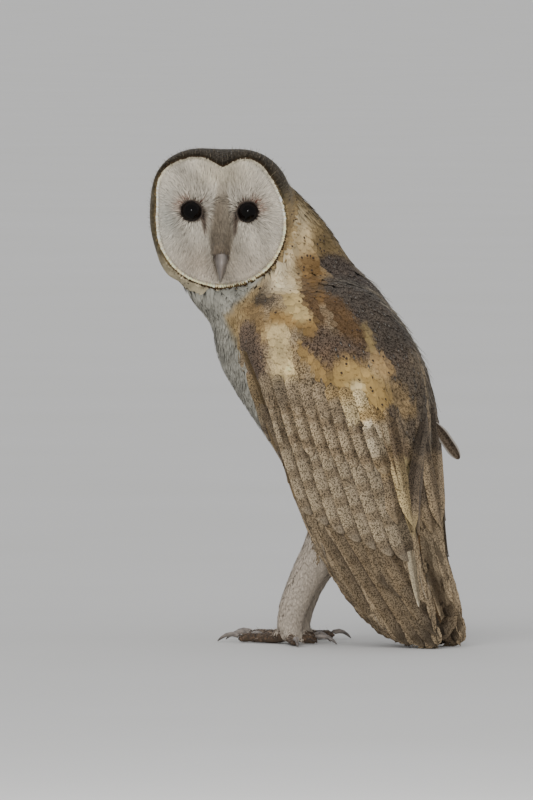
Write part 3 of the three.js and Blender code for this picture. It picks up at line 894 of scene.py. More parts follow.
# the leading edge is paler: partly the outer web's own colour, partly painted light where the raised edge
# catches the lamps
leadPaleAndLitMask = times(tree, stepped(tree, vanePart["X"], 0.45, 0.85), longShare)
colour = blended(tree, times(tree, leadPaleAndLitMask, 0.7), colour, toned(tree, colour, feather["leadPaleAndLitTone"]))
overlapShadowMask = times(tree, opposite(tree, stepped(tree, vanePart["X"], -0.3, 0.2)), longShare)
overlapShadowShare = times(tree, overlapShadowMask, 0.85)  # painted shadow, darker where the next vane lies over
colour = blended(tree, overlapShadowShare, colour, toned(tree, colour, feather["overlapShadowTone"]))
fringe = times(tree, stepped(tree, vaneAcross, 0.62, 0.85), times(tree, fleckShare, longShare))
feed(tree, blended(tree, fringe, colour, feather["fringeTone"]), surface["Base Color"])
addRelief(tree, surface, barbs, 0.22, 0.00015)

# skin under the coat carries the same tones; lids and toes are bare and finely pebbled
hide, tree, surface = newMaterial("skinHide", 0.7, Specular_IOR_Level=0.3)
tint = attribute(tree, "tint", "Color")
marksColour = attribute(tree, "marks", "Color")
speckleShare = addNode(tree, "ShaderNodeSeparateColor", {"Color": marksColour}).outputs[2]
under = useGroup(tree, speckle, Ground=tint, Amount=speckleShare, Scale=feather["speckleScale"])["Colour"]
pebbled = useGroup(tree, mottle, Ground=tint, Shade=(0.07, 0.05, 0.04, 1), Scale=420.0, Low=0.48, High=0.72)
feed(tree, blended(tree, attribute(tree, "bare", "Fac"), under, pebbled["Colour"]), surface["Base Color"])
addRelief(tree, surface, texture(tree, "Voronoi", Scale=900)["Distance"], 0.5, 0.0003, invert=True)


def grownSurface(tree, surface, ground, shade, scale, low, high, gain, base):
    grown = useGroup(tree, mottle, Ground=ground, Shade=shade, Scale=scale, Low=low, High=high)
    paint = attribute(tree, "tint", "Color")
    feed(tree, toned(tree, grown["Colour"], paint), surface["Base Color"])
    feed(tree, maths(tree, "MULTIPLY_ADD", grown["Height"], gain, base), surface["Roughness"])
    return grown["Height"]


def hornMaterial(name, ground, shade, roughness, scale):
    material, tree, surface = newMaterial(name, roughness, Coat_Weight=0.25, Coat_Roughness=0.2)
    height = grownSurface(tree, surface, ground, shade, scale, 0.38, 0.68, 0.25, roughness - 0.1)
    addRelief(tree, surface, height, 0.15, 0.0003)
    return material


billHorn = hornMaterial("billHorn", (0.19, 0.165, 0.145, 1), (0.14, 0.118, 0.1, 1), 0.38, 260.0)
clawHorn = hornMaterial("clawHorn", (0.16, 0.135, 0.115, 1), (0.06, 0.05, 0.043, 1), 0.32, 340.0)
toeHide = hornMaterial("toeHide", (0.23, 0.18, 0.145, 1), (0.12, 0.09, 0.07, 1), 0.6, 500.0)
bristleHorn = hornMaterial("bristleHorn", (1, 1, 1, 1), (0.7, 0.7, 0.7, 1), 0.55, 300.0)
eyeGloss, tree, surface = newMaterial("eyeGloss", 0.04, Specular_IOR_Level=0.14)
grownSurface(tree, surface, (0.004, 0.003, 0.0026, 1), (0.008, 0.005, 0.004, 1), 700.0, 0.35, 0.7, 0.03, 0.02)
print("materials ready")


# eyes: a ball with a slightly raised cornea
def quadBall(cuts):
    side = np.tan(np.linspace(-1, 1, cuts + 1) * math.pi / 4)
    a, b = np.meshgrid(side, side, indexing="ij")
    one = np.ones_like(a)
    sheets = [(one, a, b), (-one, b, a), (b, one, a), (a, -one, b), (a, b, one), (b, a, -one)]
    points = np.concatenate([np.stack(s, -1).reshape(-1, 3) for s in sheets])
    cell = np.arange(cuts * (cuts + 1)).reshape(cuts, cuts + 1)[:, :cuts].ravel()
    quads = np.stack([cell, cell + cuts + 1, cell + cuts + 2, cell + 1], 1)
    quads = np.concatenate([quads + k * (cuts + 1) ** 2 for k in range(6)])
    return unit(points), quads


eye = {"cuts": 22, "cornea": 0.35, "corneaWidth": 32, "pupil": 4.7, "outward": 0.07, "dark": 0.35}
gaze = {}
for side, sign in (("left", 1), ("right", -1)):
    gaze[side] = unit(faceOut + faceAcross * sign * eye["outward"])
    ball, quads = quadBall(eye["cuts"])
    facingOut = ball @ gaze[side]
    swell = bump(np.degrees(np.arccos(np.clip(facingOut, -1, 1))), 0, eye["corneaWidth"])
    ball = ball * (head["eyeRadius"] + eye["cornea"] * swell)[:, None]
    fromAxis = np.linalg.norm(ball - (ball @ gaze[side])[:, None] * gaze[side], axis=1)
    iris = smooth(fromAxis, eye["pupil"] - 0.5, eye["pupil"] + 0.3)
    shade = np.where(facingOut > 0, eye["dark"] + (1 - eye["dark"]) * iris, 1.0)
    mesh = newMesh("eye_ball_" + side, ball + eyeAt[side], quads, {"tint": greyPaint(shade)})
    addPiece("eye_ball_" + side, welded(mesh), eyeGloss, ["eye_" + side])
print("eyes")

# lids: a soft fold round each eye, part of the skin
lids = {
    "opening": 6.85,
    "upperDrop": 0.35,
    "innerCorner": {"left": (0.25, 210), "right": (0.25, 330)},  # how much wider, and where round the opening
    "steps": 80,
    "reach": 8.7,
    "sunk": 0.9,
    "swell": 0.5,
    "profile": ((-0.12, -0.7), (-0.05, 0.02), (0.08, 0.3), (0.3, 0.42), (0.6, 0.36)),  # out, above the ball
    "toSkin": (0.35, 0.7, 1.0),
    "tone": (34, 29, 26),
    "outerTone": (104, 95, 86),
    "toneShares": (0, 0, 0, 0.1, 0.4, 0.8, 1, 1),
}
lidPoints, lidQuads, lidTones = [], [], []
for side in ("left", "right"):
    right = unit(faceAcross - gaze[side] * (faceAcross @ gaze[side]))
    up = np.cross(gaze[side], right)
    up = up * np.sign(up[2])
    angle = np.arange(lids["steps"]) / lids["steps"] * 2 * math.pi
    ray = np.cos(angle)[:, None] * right + np.sin(angle)[:, None] * up
    opening = lids["opening"] - lids["upperDrop"] * np.maximum(np.sin(angle), 0) ** 2
    wider, where = lids["innerCorner"][side]
    opening = opening + wider * bump(angle, math.radians(where), 0.5)
    rings = []
    for out, above in lids["profile"]:
        radius = opening + out
        height = np.sqrt(np.maximum(head["eyeRadius"] ** 2 - radius**2, 0)) + above
        rings.append(eyeAt[side] + ray * radius[:, None] + gaze[side] * height[:, None])
    far = eyeAt[side] + ray * lids["reach"] + gaze[side] * 30
    outer = castFrom(coatTree, far, -gaze[side])[0] - gaze[side] * lids["sunk"]
    last = rings[-1]
    for share in lids["toSkin"]:
        mixed = last * (1 - share) + outer * share
        rings.append(mixed + gaze[side] * lids["swell"] * math.sin(share * math.pi) * (share < 1))
    lidQuads.append(tubeFaces(len(rings), lids["steps"], capped=False) + sum(map(len, lidPoints)))
    lidPoints.append(np.concatenate(rings))
    for share in lids["toneShares"]:
        tone = np.array(lids["tone"]) * (1 - share) + np.array(lids["outerTone"]) * share
        lidTones.append(np.tile(tone, (lids["steps"], 1)))
lidPoints, lidQuads, lidTones = map(np.concatenate, (lidPoints, lidQuads, lidTones))
corner = lidPoints[lidQuads[0]]
if np.cross(corner[2] - corner[0], corner[3] - corner[1]) @ gaze["left"] < 0:
    lidQuads = lidQuads[:, ::-1]

# the face's own tones, in across and above of the head's centre
faceTones = {
    "base": (157, 152, 143),
    "low": (154, 147, 137),
    "coolCheek": (147, 147, 142),
    "cheekShade": (140, 131, 120),
    "brow": (158, 151, 136),
    "ridge": (108, 101, 91),
    "ridgeLight": (132, 126, 116),
    "ridgeFoot": (95, 86, 76),
    "tearLine": (64, 54, 47),
    "eyeRing": (84, 74, 66),
    "eyeBlush": (150, 124, 110),
}
tearLines = (((-12.6, 8.6), (-11.0, -5)), ((10.1, 7.4), (9.6, -5)))  # from each eye's inner corner down


def faceTone(across, above):
    tone = np.zeros((len(across), 3))

    def lay(share, colour):
        tone[:] = tone * (1 - share[:, None]) + np.array(faceTones[colour], float) * share[:, None]

    lay(np.ones(len(across)), "base")
    lay(smooth(-above, 8, 34) * 0.8, "low")
    lay(bump(np.hypot((across + 37) / 7, (above - 6) / 16), 0, 1) * 0.6, "coolCheek")
    lay(bump(np.hypot(across + 15, above + 25), 0, 9) * 0.45, "cheekShade")
    lay(bump(across, 0, 16) * smooth(above, 20, 32) * 0.6, "brow")
    half = np.interp(above, [-30, -20, -14, -5, 16, 28], [4.5, 5.6, 7.0, 9.4, 5.4, 3.5])
    ridge = (1 - smooth(np.abs(across) / half, 0.55, 1.25)) * smooth(above, -40, -20)
    ridge = ridge * (1 - smooth(above, 12, 34))
    lay(ridge * 0.95, "ridge")
    lay(ridge * bump(across, 3, 3) * smooth(above, -10, 2) * 0.35, "ridgeLight")
    lay(ridge * smooth(-above, 8, 20) * 0.7, "ridgeFoot")
    for start, end in tearLines:
        far, t = fromLine(np.stack([across, above], 1), start, end)
        lay(np.exp(-((far / (2.3 - 1.1 * t)) ** 2)) * 0.95 * (1 - 0.35 * t), "tearLine")
    for x, y in eyeSpots:
        lay((1 - smooth(np.hypot(across - x, above - y), 7.0, 8.6)) * 0.4, "eyeRing")
        lay(bump(np.hypot(across - x * 1.35, above - 12), 0, 6) * 0.35, "eyeBlush")
    return tone


# the skin
skinTones, skinMarks = markings(skinPoints, coatNormals, vertexPart)
across, above, ahead = toFace(skinPoints)
inFace = faceShare[:, None]
skinTones = skinTones * (1 - inFace) + faceTone(across, above) * inFace
skinLook = {
    "tint": withAlpha(albedo(np.concatenate([skinTones * 0.9, lidTones]))),
    "marks": np.concatenate([skinMarks, np.zeros((len(lidPoints), 4))]),
    "bare": np.concatenate([(vertexPart == "foot").astype(float), np.ones(len(lidPoints))]),
}
allPoints = np.concatenate([skinPoints, lidPoints])
allQuads = np.concatenate([coatQuads, lidQuads + len(skinPoints)])
allUv = np.concatenate([skinUv, uvAt(lidPoints)[lidQuads]])
addPiece("skin", newMesh("skin", allPoints, allQuads, skinLook, allUv), hide, fleshNodes)
print("skin and lids")

# bill: a hooked, flattened beak, ridged in front, with the cutting edge marked on each side
bill = {
    "above": [-8, -14, -19, -24.7, -29, -34, -38, -39.2],
    "ahead": [22, 25.4, 29.8, 32.6, 32.8, 30.6, 27.0, 25.2],
    "width": [5.2, 5.7, 5.4, 4.2, 3.2, 1.95, 0.95, 0.3],
    "depth": [5.2, 5.8, 5.8, 5.1, 4.2, 2.9, 1.5, 0.45],
    "rows": 44,
    "sides": 32,
    "groove": 0.06,
}


def curveThrough(values, count):  # a smooth run through the given values
    values = np.asarray(values, float)
    padded = np.concatenate([2 * values[:1] - values[1:2], values, 2 * values[-1:] - values[-2:-1]])
    t = np.linspace(0, len(values) - 1 - 1e-9, count)
    k, f = t.astype(int), t % 1
    p0, p1, p2, p3 = (padded[k + j] for j in range(4))
    return p1 + 0.5 * f * (p2 - p0 + f * (2 * p0 - 5 * p1 + 4 * p2 - p3 + f * (3 * (p1 - p2) + p3 - p0)))


runs = {key: curveThrough(bill[key], bill["rows"]) for key in ("above", "ahead", "width", "depth")}
spineLine = fromFace(0.0, runs["above"], runs["ahead"])
along = unit(np.gradient(spineLine, axis=0))
front = np.cross(along, faceAcross)
front = front * np.sign(front[bill["rows"] // 2] @ faceOut)
angle = np.arange(bill["sides"]) / bill["sides"] * 2 * math.pi
ridgeShare = np.maximum(np.sin(angle), 0)
edge = bill["groove"] * (bump(np.degrees(angle), 340, 9) + bump(np.degrees(angle), 200, 9))
ringWide = np.cos(angle) * (1 - 0.34 * ridgeShare**1.6) * (1 - edge)
ringDeep = np.sin(angle) * (1 - edge)
billPoints = (
    spineLine[:, None]
    + faceAcross * (runs["width"][:, None] * ringWide)[..., None]
    + front[:, None] * (runs["depth"][:, None] * ringDeep)[..., None]
).reshape(-1, 3)
billQuads = tubeFaces(bill["rows"], bill["sides"])
rowShare = np.repeat(np.linspace(0, 1, bill["rows"]), bill["sides"])
paintedFrontHighlight = np.tile(ridgeShare, bill["rows"])
# the pale streak down the bill's front is a painted highlight; the bill is also darker at the tip and at the
# root
shade = 0.72 + 0.75 * paintedFrontHighlight**5 - 0.25 * smooth(rowShare, 0.86, 1.0)
shade = shade - 0.22 * (1 - smooth(rowShare, 0.15, 0.4))
tint = withAlpha(np.repeat(shade[:, None], 3, 1) * np.array([1.0, 0.98, 0.96]))
mesh = welded(newMesh("beak", billPoints, billQuads, {"tint": tint}))
addPiece("beak", mesh, billHorn, ["bill"])
# the face with the bill and lids standing out of it
facePoints = np.concatenate([coatPoints, billPoints, lidPoints])
faceQuads = [coatQuads, billQuads + len(coatPoints), lidQuads + len(coatPoints) + len(billPoints)]
faceTree = treeOf(facePoints, np.concatenate(faceQuads))
print("bill")


def onDisc(across, above):
    places, normals = castFrom(faceTree, fromFace(across, above, head["faceFront"]), -faceOut)
    missed = np.isnan(places[:, 0])
    places[missed] = nearest(coatTree, fromFace(across, above, head["facePlane"])[missed])[0]
    return places, normals


# claws: the frame's own claws, rounded finer, paler at the root
claws = {"voxel": 0.34, "relax": 5, "tipShade": 0.75, "rootMore": 0.9}
for name in [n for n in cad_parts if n.startswith("claw")]:
    mesh = remeshed(nodeSolid([name]), claws["voxel"], claws["relax"])
    z = meshArrays(mesh)[0][:, 2]
    shade = claws["tipShade"] + claws["rootMore"] * smooth(z, z.min(), z.max())
    setAttribute(mesh, "tint", greyPaint(shade))
    setSmooth(mesh)
    addPiece(name + "_horn", mesh, clawHorn, [name])
print("claws")

# contour feathers, one row for each kind; several blades stand together where the coat is down
shortRows = np.array([0, 0.3, 0.6, 0.84, 1.0])
shortProfile = np.array([0.35, 0.9, 1.0, 0.72, 0.12])
bladeRows = np.array([0, 0.4, 0.75, 1.0])
bladeProfile = np.array([0.6, 1.0, 0.75, 0.05])
contourColumns = ("spacing", "length", "width", "sink", "rise", "step", "spread", "blades", "slot")
contour = {
    "crown": (2.3, 8.5, 3.8, 1.8, 0.04, 0.3, 5, 1, "plumage"),
    "neck": (3.0, 12, 5.2, 2.4, 0.04, 0.3, 5, 1, "plumage"),
    "breast": (3.2, 14, 2.1, 2.4, 0.5, 1.2, 15, 4, "plumage"),
    "mantle": (3.8, 16, 7.0, 2.4, 0.12, 0.6, 5, 1, "plumage"),
    "covert": (3.6, 14, 6.4, 1.4, 0.04, 0.3, 5, 1, "plumage"),
    "under": (5.0, 24, 8.0, 0.5, 0.05, 0.12, 2, 1, "plumage"),
    "tailCovert": (5.0, 16, 8.0, 0.5, 0.2, 0.25, 5, 1, "plumage"),
    "leg": (1.65, 6.5, 1.15, 0.8, 0.15, 0.5, 15, 3, "leg_down"),
}
quadFlank = toFlank(quadCentre)
quadInner = (quadPart == "wing") & (-quadNormal[:, 0] * np.sign(quadCentre[:, 0]) > 0.25)
headCoat = (quadPart == "head") & (onFace(quadCentre) < 0.5)
across, above, ahead = toFace(quadCentre)
offRim = np.hypot(across, above) > 1.015 * rimRadius(across, above)
whiteFront = np.isin(quadPart, ("trunk", "neck")) & (quadFlank[:, 0] < frontEdge(quadFlank[:, 1], -17))
upperWing = (quadPart == "wing") & ~quadInner & (quadFlank[:, 1] > 128 + 0.25 * (20 - quadFlank[:, 0]))
backOfNeck = (quadPart == "neck") & (quadCentre[:, 1] >= 4)
regions = {
    "crown": headCoat & (offRim | (ahead < 12)),
    "neck": (quadPart == "neck") & ~backOfNeck & ~whiteFront,
    "breast": whiteFront,
    "mantle": ((quadPart == "trunk") | backOfNeck) & ~whiteFront,
    "covert": upperWing,
    "under": (quadPart == "wing") & ~upperWing,
    "tailCovert": quadPart == "tail",
    "leg": quadPart == "leg",
}
for kind, row in contour.items():
    rule = dict(zip(contourColumns, row))
    tuft = rule["blades"] > 1
    rows, profile = (bladeRows, bladeProfile) if tuft else (shortRows, shortProfile)
    stood = scatter(regions[kind], rule["spacing"])
    points, normals, parts = (np.repeat(v, rule["blades"], axis=0) for v in stood)
    count = len(points)
    aim = turned(lieOfCoat(points, normals, parts), normals, rng.normal(0, rule["spread"], count))
    rootUv = uvAt(points)
    if tuft:
        points = points + rng.normal(0, 0.25 * rule["spacing"], (count, 3))
    length = rule["length"] * rng.uniform(0.82, 1.15, count)
    length = np.minimum(length, np.maximum((points[:, 2] - 1.5) / 0.97, 3))  # tips stay off the floor
    spine, normal = laid(points, aim, length, rows, rule["sink"], rule["rise"], rule["step"])
    if tuft:
        spine = spine + normal * (rng.uniform(-0.3, 0.5, count)[:, None] * rows)[..., None]
    half = rule["width"] / 2 * rng.uniform(0.88, 1.12, count)[:, None] * profile
    tone, marks = markings(spine.reshape(-1, 3), normal.reshape(-1, 3), np.repeat(parts, len(rows)))
    tone, marks = tone.reshape(count, -1, 3), marks.reshape(count, -1, 4)
    tone = tone * (1 + rng.normal(0, 0.022, count))[:, None, None]
    # darker towards the root: partly the grey downy base, partly painted shade where it lies under the
    # feathers above
    tone = tone * np.interp(rows, [0, 0.6, 1], [0.93, 0.99, 1.02])[:, None]
    for mark, chance in ((0, 0.7), (1, 0.6)):  # spots and flecks are on a whole feather or not at all
        marks[:, :, mark] = (rng.random(count) < chance * marks[:, -2, mark])[:, None]
    coat = newCoat()
    addVanes(coat, spine, normal, half, tone, marks, rootUv, thick=0.025, camber=0.05)
    finishCoat(coat, kind + "_feathers")

# flight feathers, in the flank map: half width, lift off the coat, step from one to the next, roll, tones,
# shares of bar and speckle, rounding of the tip, bow, share of the markings' own tone, smoothing rounds
longRows = np.concatenate([np.linspace(0, 0.86, 15), [0.9, 0.93, 0.96, 0.98, 0.993, 1.0]])
flightColumns = (
    "half", "lift", "step", "roll", "tone", "tip", "bar", "speckle", "round", "bow", "mix", "stiff",
)
flight = {
    "primary": (6.6, 0.1, 0.07, 0.9, (100, 90, 75), (84, 76, 65), 0.3, 0.75, 0.07, 5, 0.0, 3),
    "secondary": (7.6, 0.7, 0.05, 0.75, (123, 114, 99), (112, 104, 92), 0.55, 0.9, 0.12, 2, 0.0, 3),
    "tertial": (7.0, 1.2, 0.05, 0.5, (112, 99, 80), (96, 86, 72), 0.1, 0.9, 0.16, 2, 0.8, 60),
    "greaterCovert": (5.6, 1.25, 0.03, 0.5, (122, 113, 98), (120, 111, 97), 0.6, 0.95, 0.2, 1, 0.5, 3),
    "middleCovert": (5.0, 1.4, 0.02, 0.3, (118, 109, 96), (112, 103, 90), 0.25, 0.95, 0.3, 0, 0.8, 3),
    "edgeCovert": (4.2, 0.9, 0.06, 0.4, (110, 97, 74), (108, 96, 76), 0.0, 0.55, 0.25, 0, 0.0, 3),
    "whiteWedge": (3.2, 1.0, 0.1, 0.2, (130, 123, 109), (150, 144, 131), 0.0, 0.4, 0.95, 0, 0.0, 8),
}
first, second, third = np.arange(8), np.arange(9), np.arange(7)
secondaryRoots = np.stack([-35.2 + 8.9 * first + 0.05 * first**2, 171.4 + 0 * first], 1)
secondaryTips = np.stack([-11.1 + 10.95 * first, 99 - 7.5 * first + 0.28 * first**2], 1)
slope = np.stack([0.26 + 0.012 * second, -np.ones(9)], 1)
covertTips = np.stack([-28.5 + 9.9 * second, 141 - 2.6 * second], 1)
middleTips = np.stack([-36.0 + 9.4 * second, 165 - 1.6 * second], 1)
edgeRoots = np.stack([-47.5 + 4.1 * third, 204 - 12.0 * third], 1)
primaryTips = [(52.4, 5.2), (66.9, 2.0), (77.2, 1.6), (85.5, 1.6), (89.6, 2.6)]  # these bend at the floor
primaryTips += [(86.2, 9), (79.3, 18.3), (70.3, 27.9), (61.4, 35.5), (53.1, 41.7)]
tertialRoots = [(41, 168), (50, 164), (58, 161), (65.5, 160), (72, 158)]
tertialTips = [(58.6, 85.2), (68.2, 83), (76.5, 80), (82.5, 77), (88, 80)]
tracks = {
    "primary": (np.stack([-43.5 + 5.6 * np.arange(10), 186 + 0 * np.arange(10)], 1), np.array(primaryTips)),
    "secondary": (secondaryRoots, secondaryTips),
    "tertial": (np.array(tertialRoots, float), np.array(tertialTips)),
    "greaterCovert": (covertTips - slope * 38, covertTips),
    "middleCovert": (middleTips - slope * 26, middleTips),
    "edgeCovert": (edgeRoots, edgeRoots + np.array([12.5, -31])),
    "whiteWedge": (np.array([(65.5, 72.0)]), np.array([(73.0, 29.0)])),
}


def longProfile(root, tip):
    widening = smooth(longRows, -0.08, root)
    rounding = np.sqrt(np.maximum(1 - (np.maximum(longRows - (1 - tip), 0) / tip) ** 2, 0.004))
    return widening * rounding


def runSmooth(values, rounds):  # evens a run of points, its ends kept
    for turn in range(rounds):
        values[:, 1:-1] = 0.5 * values[:, 1:-1] + 0.25 * (values[:, 2:] + values[:, :-2])
    return values


def plainMarks(count, spot=0.0, fleck=0.0, speckle=0.0, bar=0.0):
    return np.tile(np.array([spot, fleck, speckle, bar]), (count, len(longRows), 1))


for side, sign in (("left", 1), ("right", -1)):
    coat = newCoat()
    mirror = np.array([sign, 1, 1])
    for kind, row in flight.items():
        if kind == "whiteWedge" and side == "right":
            continue
        rule = dict(zip(flightColumns, row))
        roots, ends = tracks[kind]
        count = len(roots)
        line = roots[:, None] + (ends - roots)[:, None] * longRows[:, None]
        bow = rule["bow"] * np.sin(longRows * math.pi)
        across = unit(np.stack([(ends - roots)[:, 1], -(ends - roots)[:, 0]], 1))
        line = line + across[:, None] * bow[:, None] * 0.5
        line[..., 1] = np.maximum(line[..., 1], vanes["tipHeight"])
        flat = line.reshape(-1, 2)
        start = flat[:, :1] * alongFlank + flat[:, 1:] * upward
        places, normals = castFrom(coatTree, start + flank["beyond"] * toViewer, -toViewer)
        missed = np.isnan(places[:, 0]) | ((places @ toViewer) < 0)
        places[missed] = nearest(coatTree, start[missed] + flank["plane"] * toViewer)[0]
        places, normals, index = nearest(coatTree, places * mirror)
        normals = unit(runSmooth(normals.reshape(count, -1, 3), 3 + rule["stiff"]))
        places = runSmooth(places.reshape(count, -1, 3), rule["stiff"])
        raised = rule["lift"] + rule["step"] * np.arange(count)
        ease = np.interp(longRows, [0, 0.12, 0.9, 1], [-1.2, 0, 0, 0.1])
        spine = places + normals * (raised[:, None] + ease)[..., None]
        half = rule["half"] * longProfile(0.15, rule["round"]) * rng.uniform(0.95, 1.05, count)[:, None]
        tipShare = smooth(longRows, 0.9, 0.97)[None, :, None]
        tone = np.array(rule["tone"], float) * (1 - tipShare) + np.array(rule["tip"], float) * tipShare
        parts = np.full(count * len(longRows), "wing")
        painted = markings(spine.reshape(-1, 3), normals.reshape(-1, 3), parts)[0].reshape(count, -1, 3)
        tone = tone * (1 - rule["mix"]) + painted * rule["mix"]
        tone = tone * (1 + rng.normal(0, 0.04, count))[:, None, None]
        marks = plainMarks(count, speckle=rule["speckle"], bar=rule["bar"])
        marks[..., 2] *= 1 - 0.5 * smooth(longRows, 0.92, 0.97)
        addVanes(
            coat, spine, normals, half, tone, marks, uvAt(places[:, 0]), ring=longRing, thick=0.16,
            camber=0.1, tall=vanes["longPatch"], roll={"lead": -alongFlank * mirror, "lift": rule["roll"]},
        )
    finishCoat(coat, "flight_feathers_" + side)

# tail feathers, laid down the tail's back
tail = {"count": 7, "half": 6.0, "lift": 0.5, "step": 0.12, "speckle": 0.6, "bar": 0.9, "tone": (112, 95, 70)}
order = np.arange(tail["count"]) - (tail["count"] - 1) / 2
low, high = (np.array(v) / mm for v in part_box("tail"))
level = np.ones(len(order))
middle = (low[0] + high[0]) / 2
roots = np.stack([middle + 1.3 * order, (high[1] - 20) * level, (high[2] + 6) * level], 1)
ends = np.stack([middle + 3.4 * order, (high[1] - 1) * level, low[2] + 1.2 * np.abs(order)], 1)
straight = (roots[:, None] + (ends - roots)[:, None] * longRows[:, None]).reshape(-1, 3)
places, normals = castFrom(coatTree, straight + [0, 60, 0], np.array([0.0, -1.0, 0.0]))
missed = np.isnan(places[:, 0])
places[missed] = nearest(coatTree, straight[missed])[0]
normals = unit(runSmooth(normals.reshape(len(order), -1, 3), 8))
raised = (tail["lift"] - tail["step"] * np.abs(order))[:, None, None]
spine = runSmooth(places.reshape(len(order), -1, 3), 5) + normals * raised
half = tail["half"] * longProfile(0.15, 0.1) * level[:, None]
tone = np.tile(np.array(tail["tone"], float), (len(order), len(longRows), 1))
marks = plainMarks(len(order), speckle=tail["speckle"], bar=tail["bar"])
coat = newCoat()
addVanes(
    coat, spine, normals, half, tone, marks, uvAt(spine[:, 0]),
    ring=longRing, thick=0.16, camber=0.08, tall=vanes["longPatch"],
)
finishCoat(coat, "tail_feathers")

# the one loose scapular feather that stands off the back
stray = {"width": 0.95, "root": 0.45, "tip": 0.3, "tone": (88, 79, 68), "fleck": 1.0, "speckle": 0.6}
co = meshArrays(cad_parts["stray_scapular_feather"].data)[0]
middle = co.mean(0)
axis, breadth, flat = np.linalg.svd(co - middle, full_matrices=False)[2]
axis = axis * -np.sign(axis[2])
low, high = ((co - middle) @ axis).min(), ((co - middle) @ axis).max()
spine = (middle + axis * (low + (high - low) * longRows)[:, None])[None]
normals = np.tile(flat * np.sign(flat @ toViewer), (1, len(longRows), 1))
wide = np.abs((co - middle) @ breadth).max()
half = (wide * stray["width"] * longProfile(stray["root"], stray["tip"]))[None]
tone = np.tile(np.array(stray["tone"], float), (1, len(longRows), 1))
marks = plainMarks(1, fleck=stray["fleck"], speckle=stray["speckle"])
coat = newCoat()
addVanes(coat, spine, normals, half, tone, marks, uvAt(spine[:, 0]), ring=longRing, thick=0.25, camber=0.12)
finishCoat(coat, "stray_feather", ["stray_scapular_feather"])
print("contour and flight feathers")

# the facial disc: fine narrow vanes that run out from each eye, and down the ridge to the bill
disc = {"half": 52, "pitch": 0.82, "length": 7.0, "width": 0.52, "lift": 0.22, "eyeClear": 7.3, "rim": 0.945}
side = np.arange(-disc["half"], disc["half"], disc["pitch"])
across, above = (v.ravel() for v in np.meshgrid(side, side))
across = across + rng.uniform(-0.45, 0.45, len(across)) * disc["pitch"]
above = above + rng.uniform(-0.45, 0.45, len(above)) * disc["pitch"]
keep = np.hypot(across, above) < disc["rim"] * rimRadius(across, above)
for x, y in eyeSpots:
    keep &= np.hypot(across - x, above - y) > disc["eyeClear"]
billHalf = np.interp(-above, [17, 24, 30, 36, 40], [5.6, 4.9, 3.4, 1.8, 0.3])
keep &= ~((np.abs(across) < billHalf) & (above < -17) & (above > -40))
across, above = across[keep], above[keep]
count = len(across)


def faceFlow(across, above):
    flow = np.zeros((len(across), 2))
    for x, y in eyeSpots:
        d = np.stack([across - x, above - y], 1)
        far = np.linalg.norm(d, axis=1, keepdims=True)
        flow += d / far * (8 / (far + 4)) ** 1.3
    onRidge = (bump(across, 0, 8) * smooth(-above, -24, -12))[:, None]
    sideways = np.sign(across) * 0.18 * np.minimum(np.abs(across) / 5, 1)
    down = unit(np.stack([sideways, -np.ones(len(across))], 1))
    low = (smooth(-above, 16, 26) * bump(across, 0, 14))[:, None]
    fan = unit(np.stack([across * 0.9, above + 16], 1))
    flow = unit(flow) * (1 - onRidge) + down * onRidge
    return unit(flow * (1 - low) + fan * low)


flow = faceFlow(across, above)
angle = rng.normal(0, 0.09, count)
cosine, sine = np.cos(angle), np.sin(angle)
flow = np.stack([flow[:, 0] * cosine - flow[:, 1] * sine, flow[:, 0] * sine + flow[:, 1] * cosine], 1)
rows = np.array([0, 0.5, 1.0])
nearEye = np.min([np.hypot(across - x, above - y) for x, y in eyeSpots], axis=0)
length = disc["length"] * rng.uniform(0.7, 1.2, count) * np.interp(nearEye, [8, 14], [0.55, 1])
room = rimRadius(across, above) * rng.uniform(0.94, 0.965, count) - np.hypot(across, above)
length = np.minimum(length, np.maximum(room, 1.6))
overBill = (np.abs(across) < 6) & (above > -18) & (above < -8)
length = np.where(overBill, np.minimum(length, np.maximum(above + 18.0 + 0.1 * across**2, 1.4)), length)
flat = np.stack([across, above], 1)[:, None] + flow[:, None] * (length[:, None] * rows)[..., None]
places, normals = (v.reshape(count, 3, 3) for v in onDisc(flat[..., 0].ravel(), flat[..., 1].ravel()))
normals = unit(normals + faceOut * 0.5)
ridgeLift = bump(across, 0, 8) * smooth(-above, -20, -4) * 0.5
lift = disc["lift"] * rng.uniform(0.5, 1.5, count) + ridgeLift
spine = places + normals * (np.array([-0.5, 0.55, 1.0]) * lift[:, None])[..., None]
half = disc["width"] / 2 * rng.uniform(0.7, 1.3, count)[:, None] * np.array([0.9, 1.0, 0.08])
tone = faceTone(flat[:, 1, 0], flat[:, 1, 1])
nearShare = np.interp(nearEye, [8, 17], [1.2, 0.7])  # the rays show most round the eyes
tone = tone * (1 + rng.normal(0, 0.055, count) * nearShare + 0.045 * drift(places[:, 1], 14, 5))[:, None]
# darker towards the root: partly the greyer base, partly painted shade where each ray lies under the next
tone = tone[:, None] * np.array([0.93, 0.99, 1.02])[:, None]
coat = newCoat()
marks = np.zeros((count, len(rows), 4))
addVanes(coat, spine, normals, half, tone, marks, uvAt(places[:, 0]), thick=0.035, camber=0.1)
finishCoat(coat, "face_down")

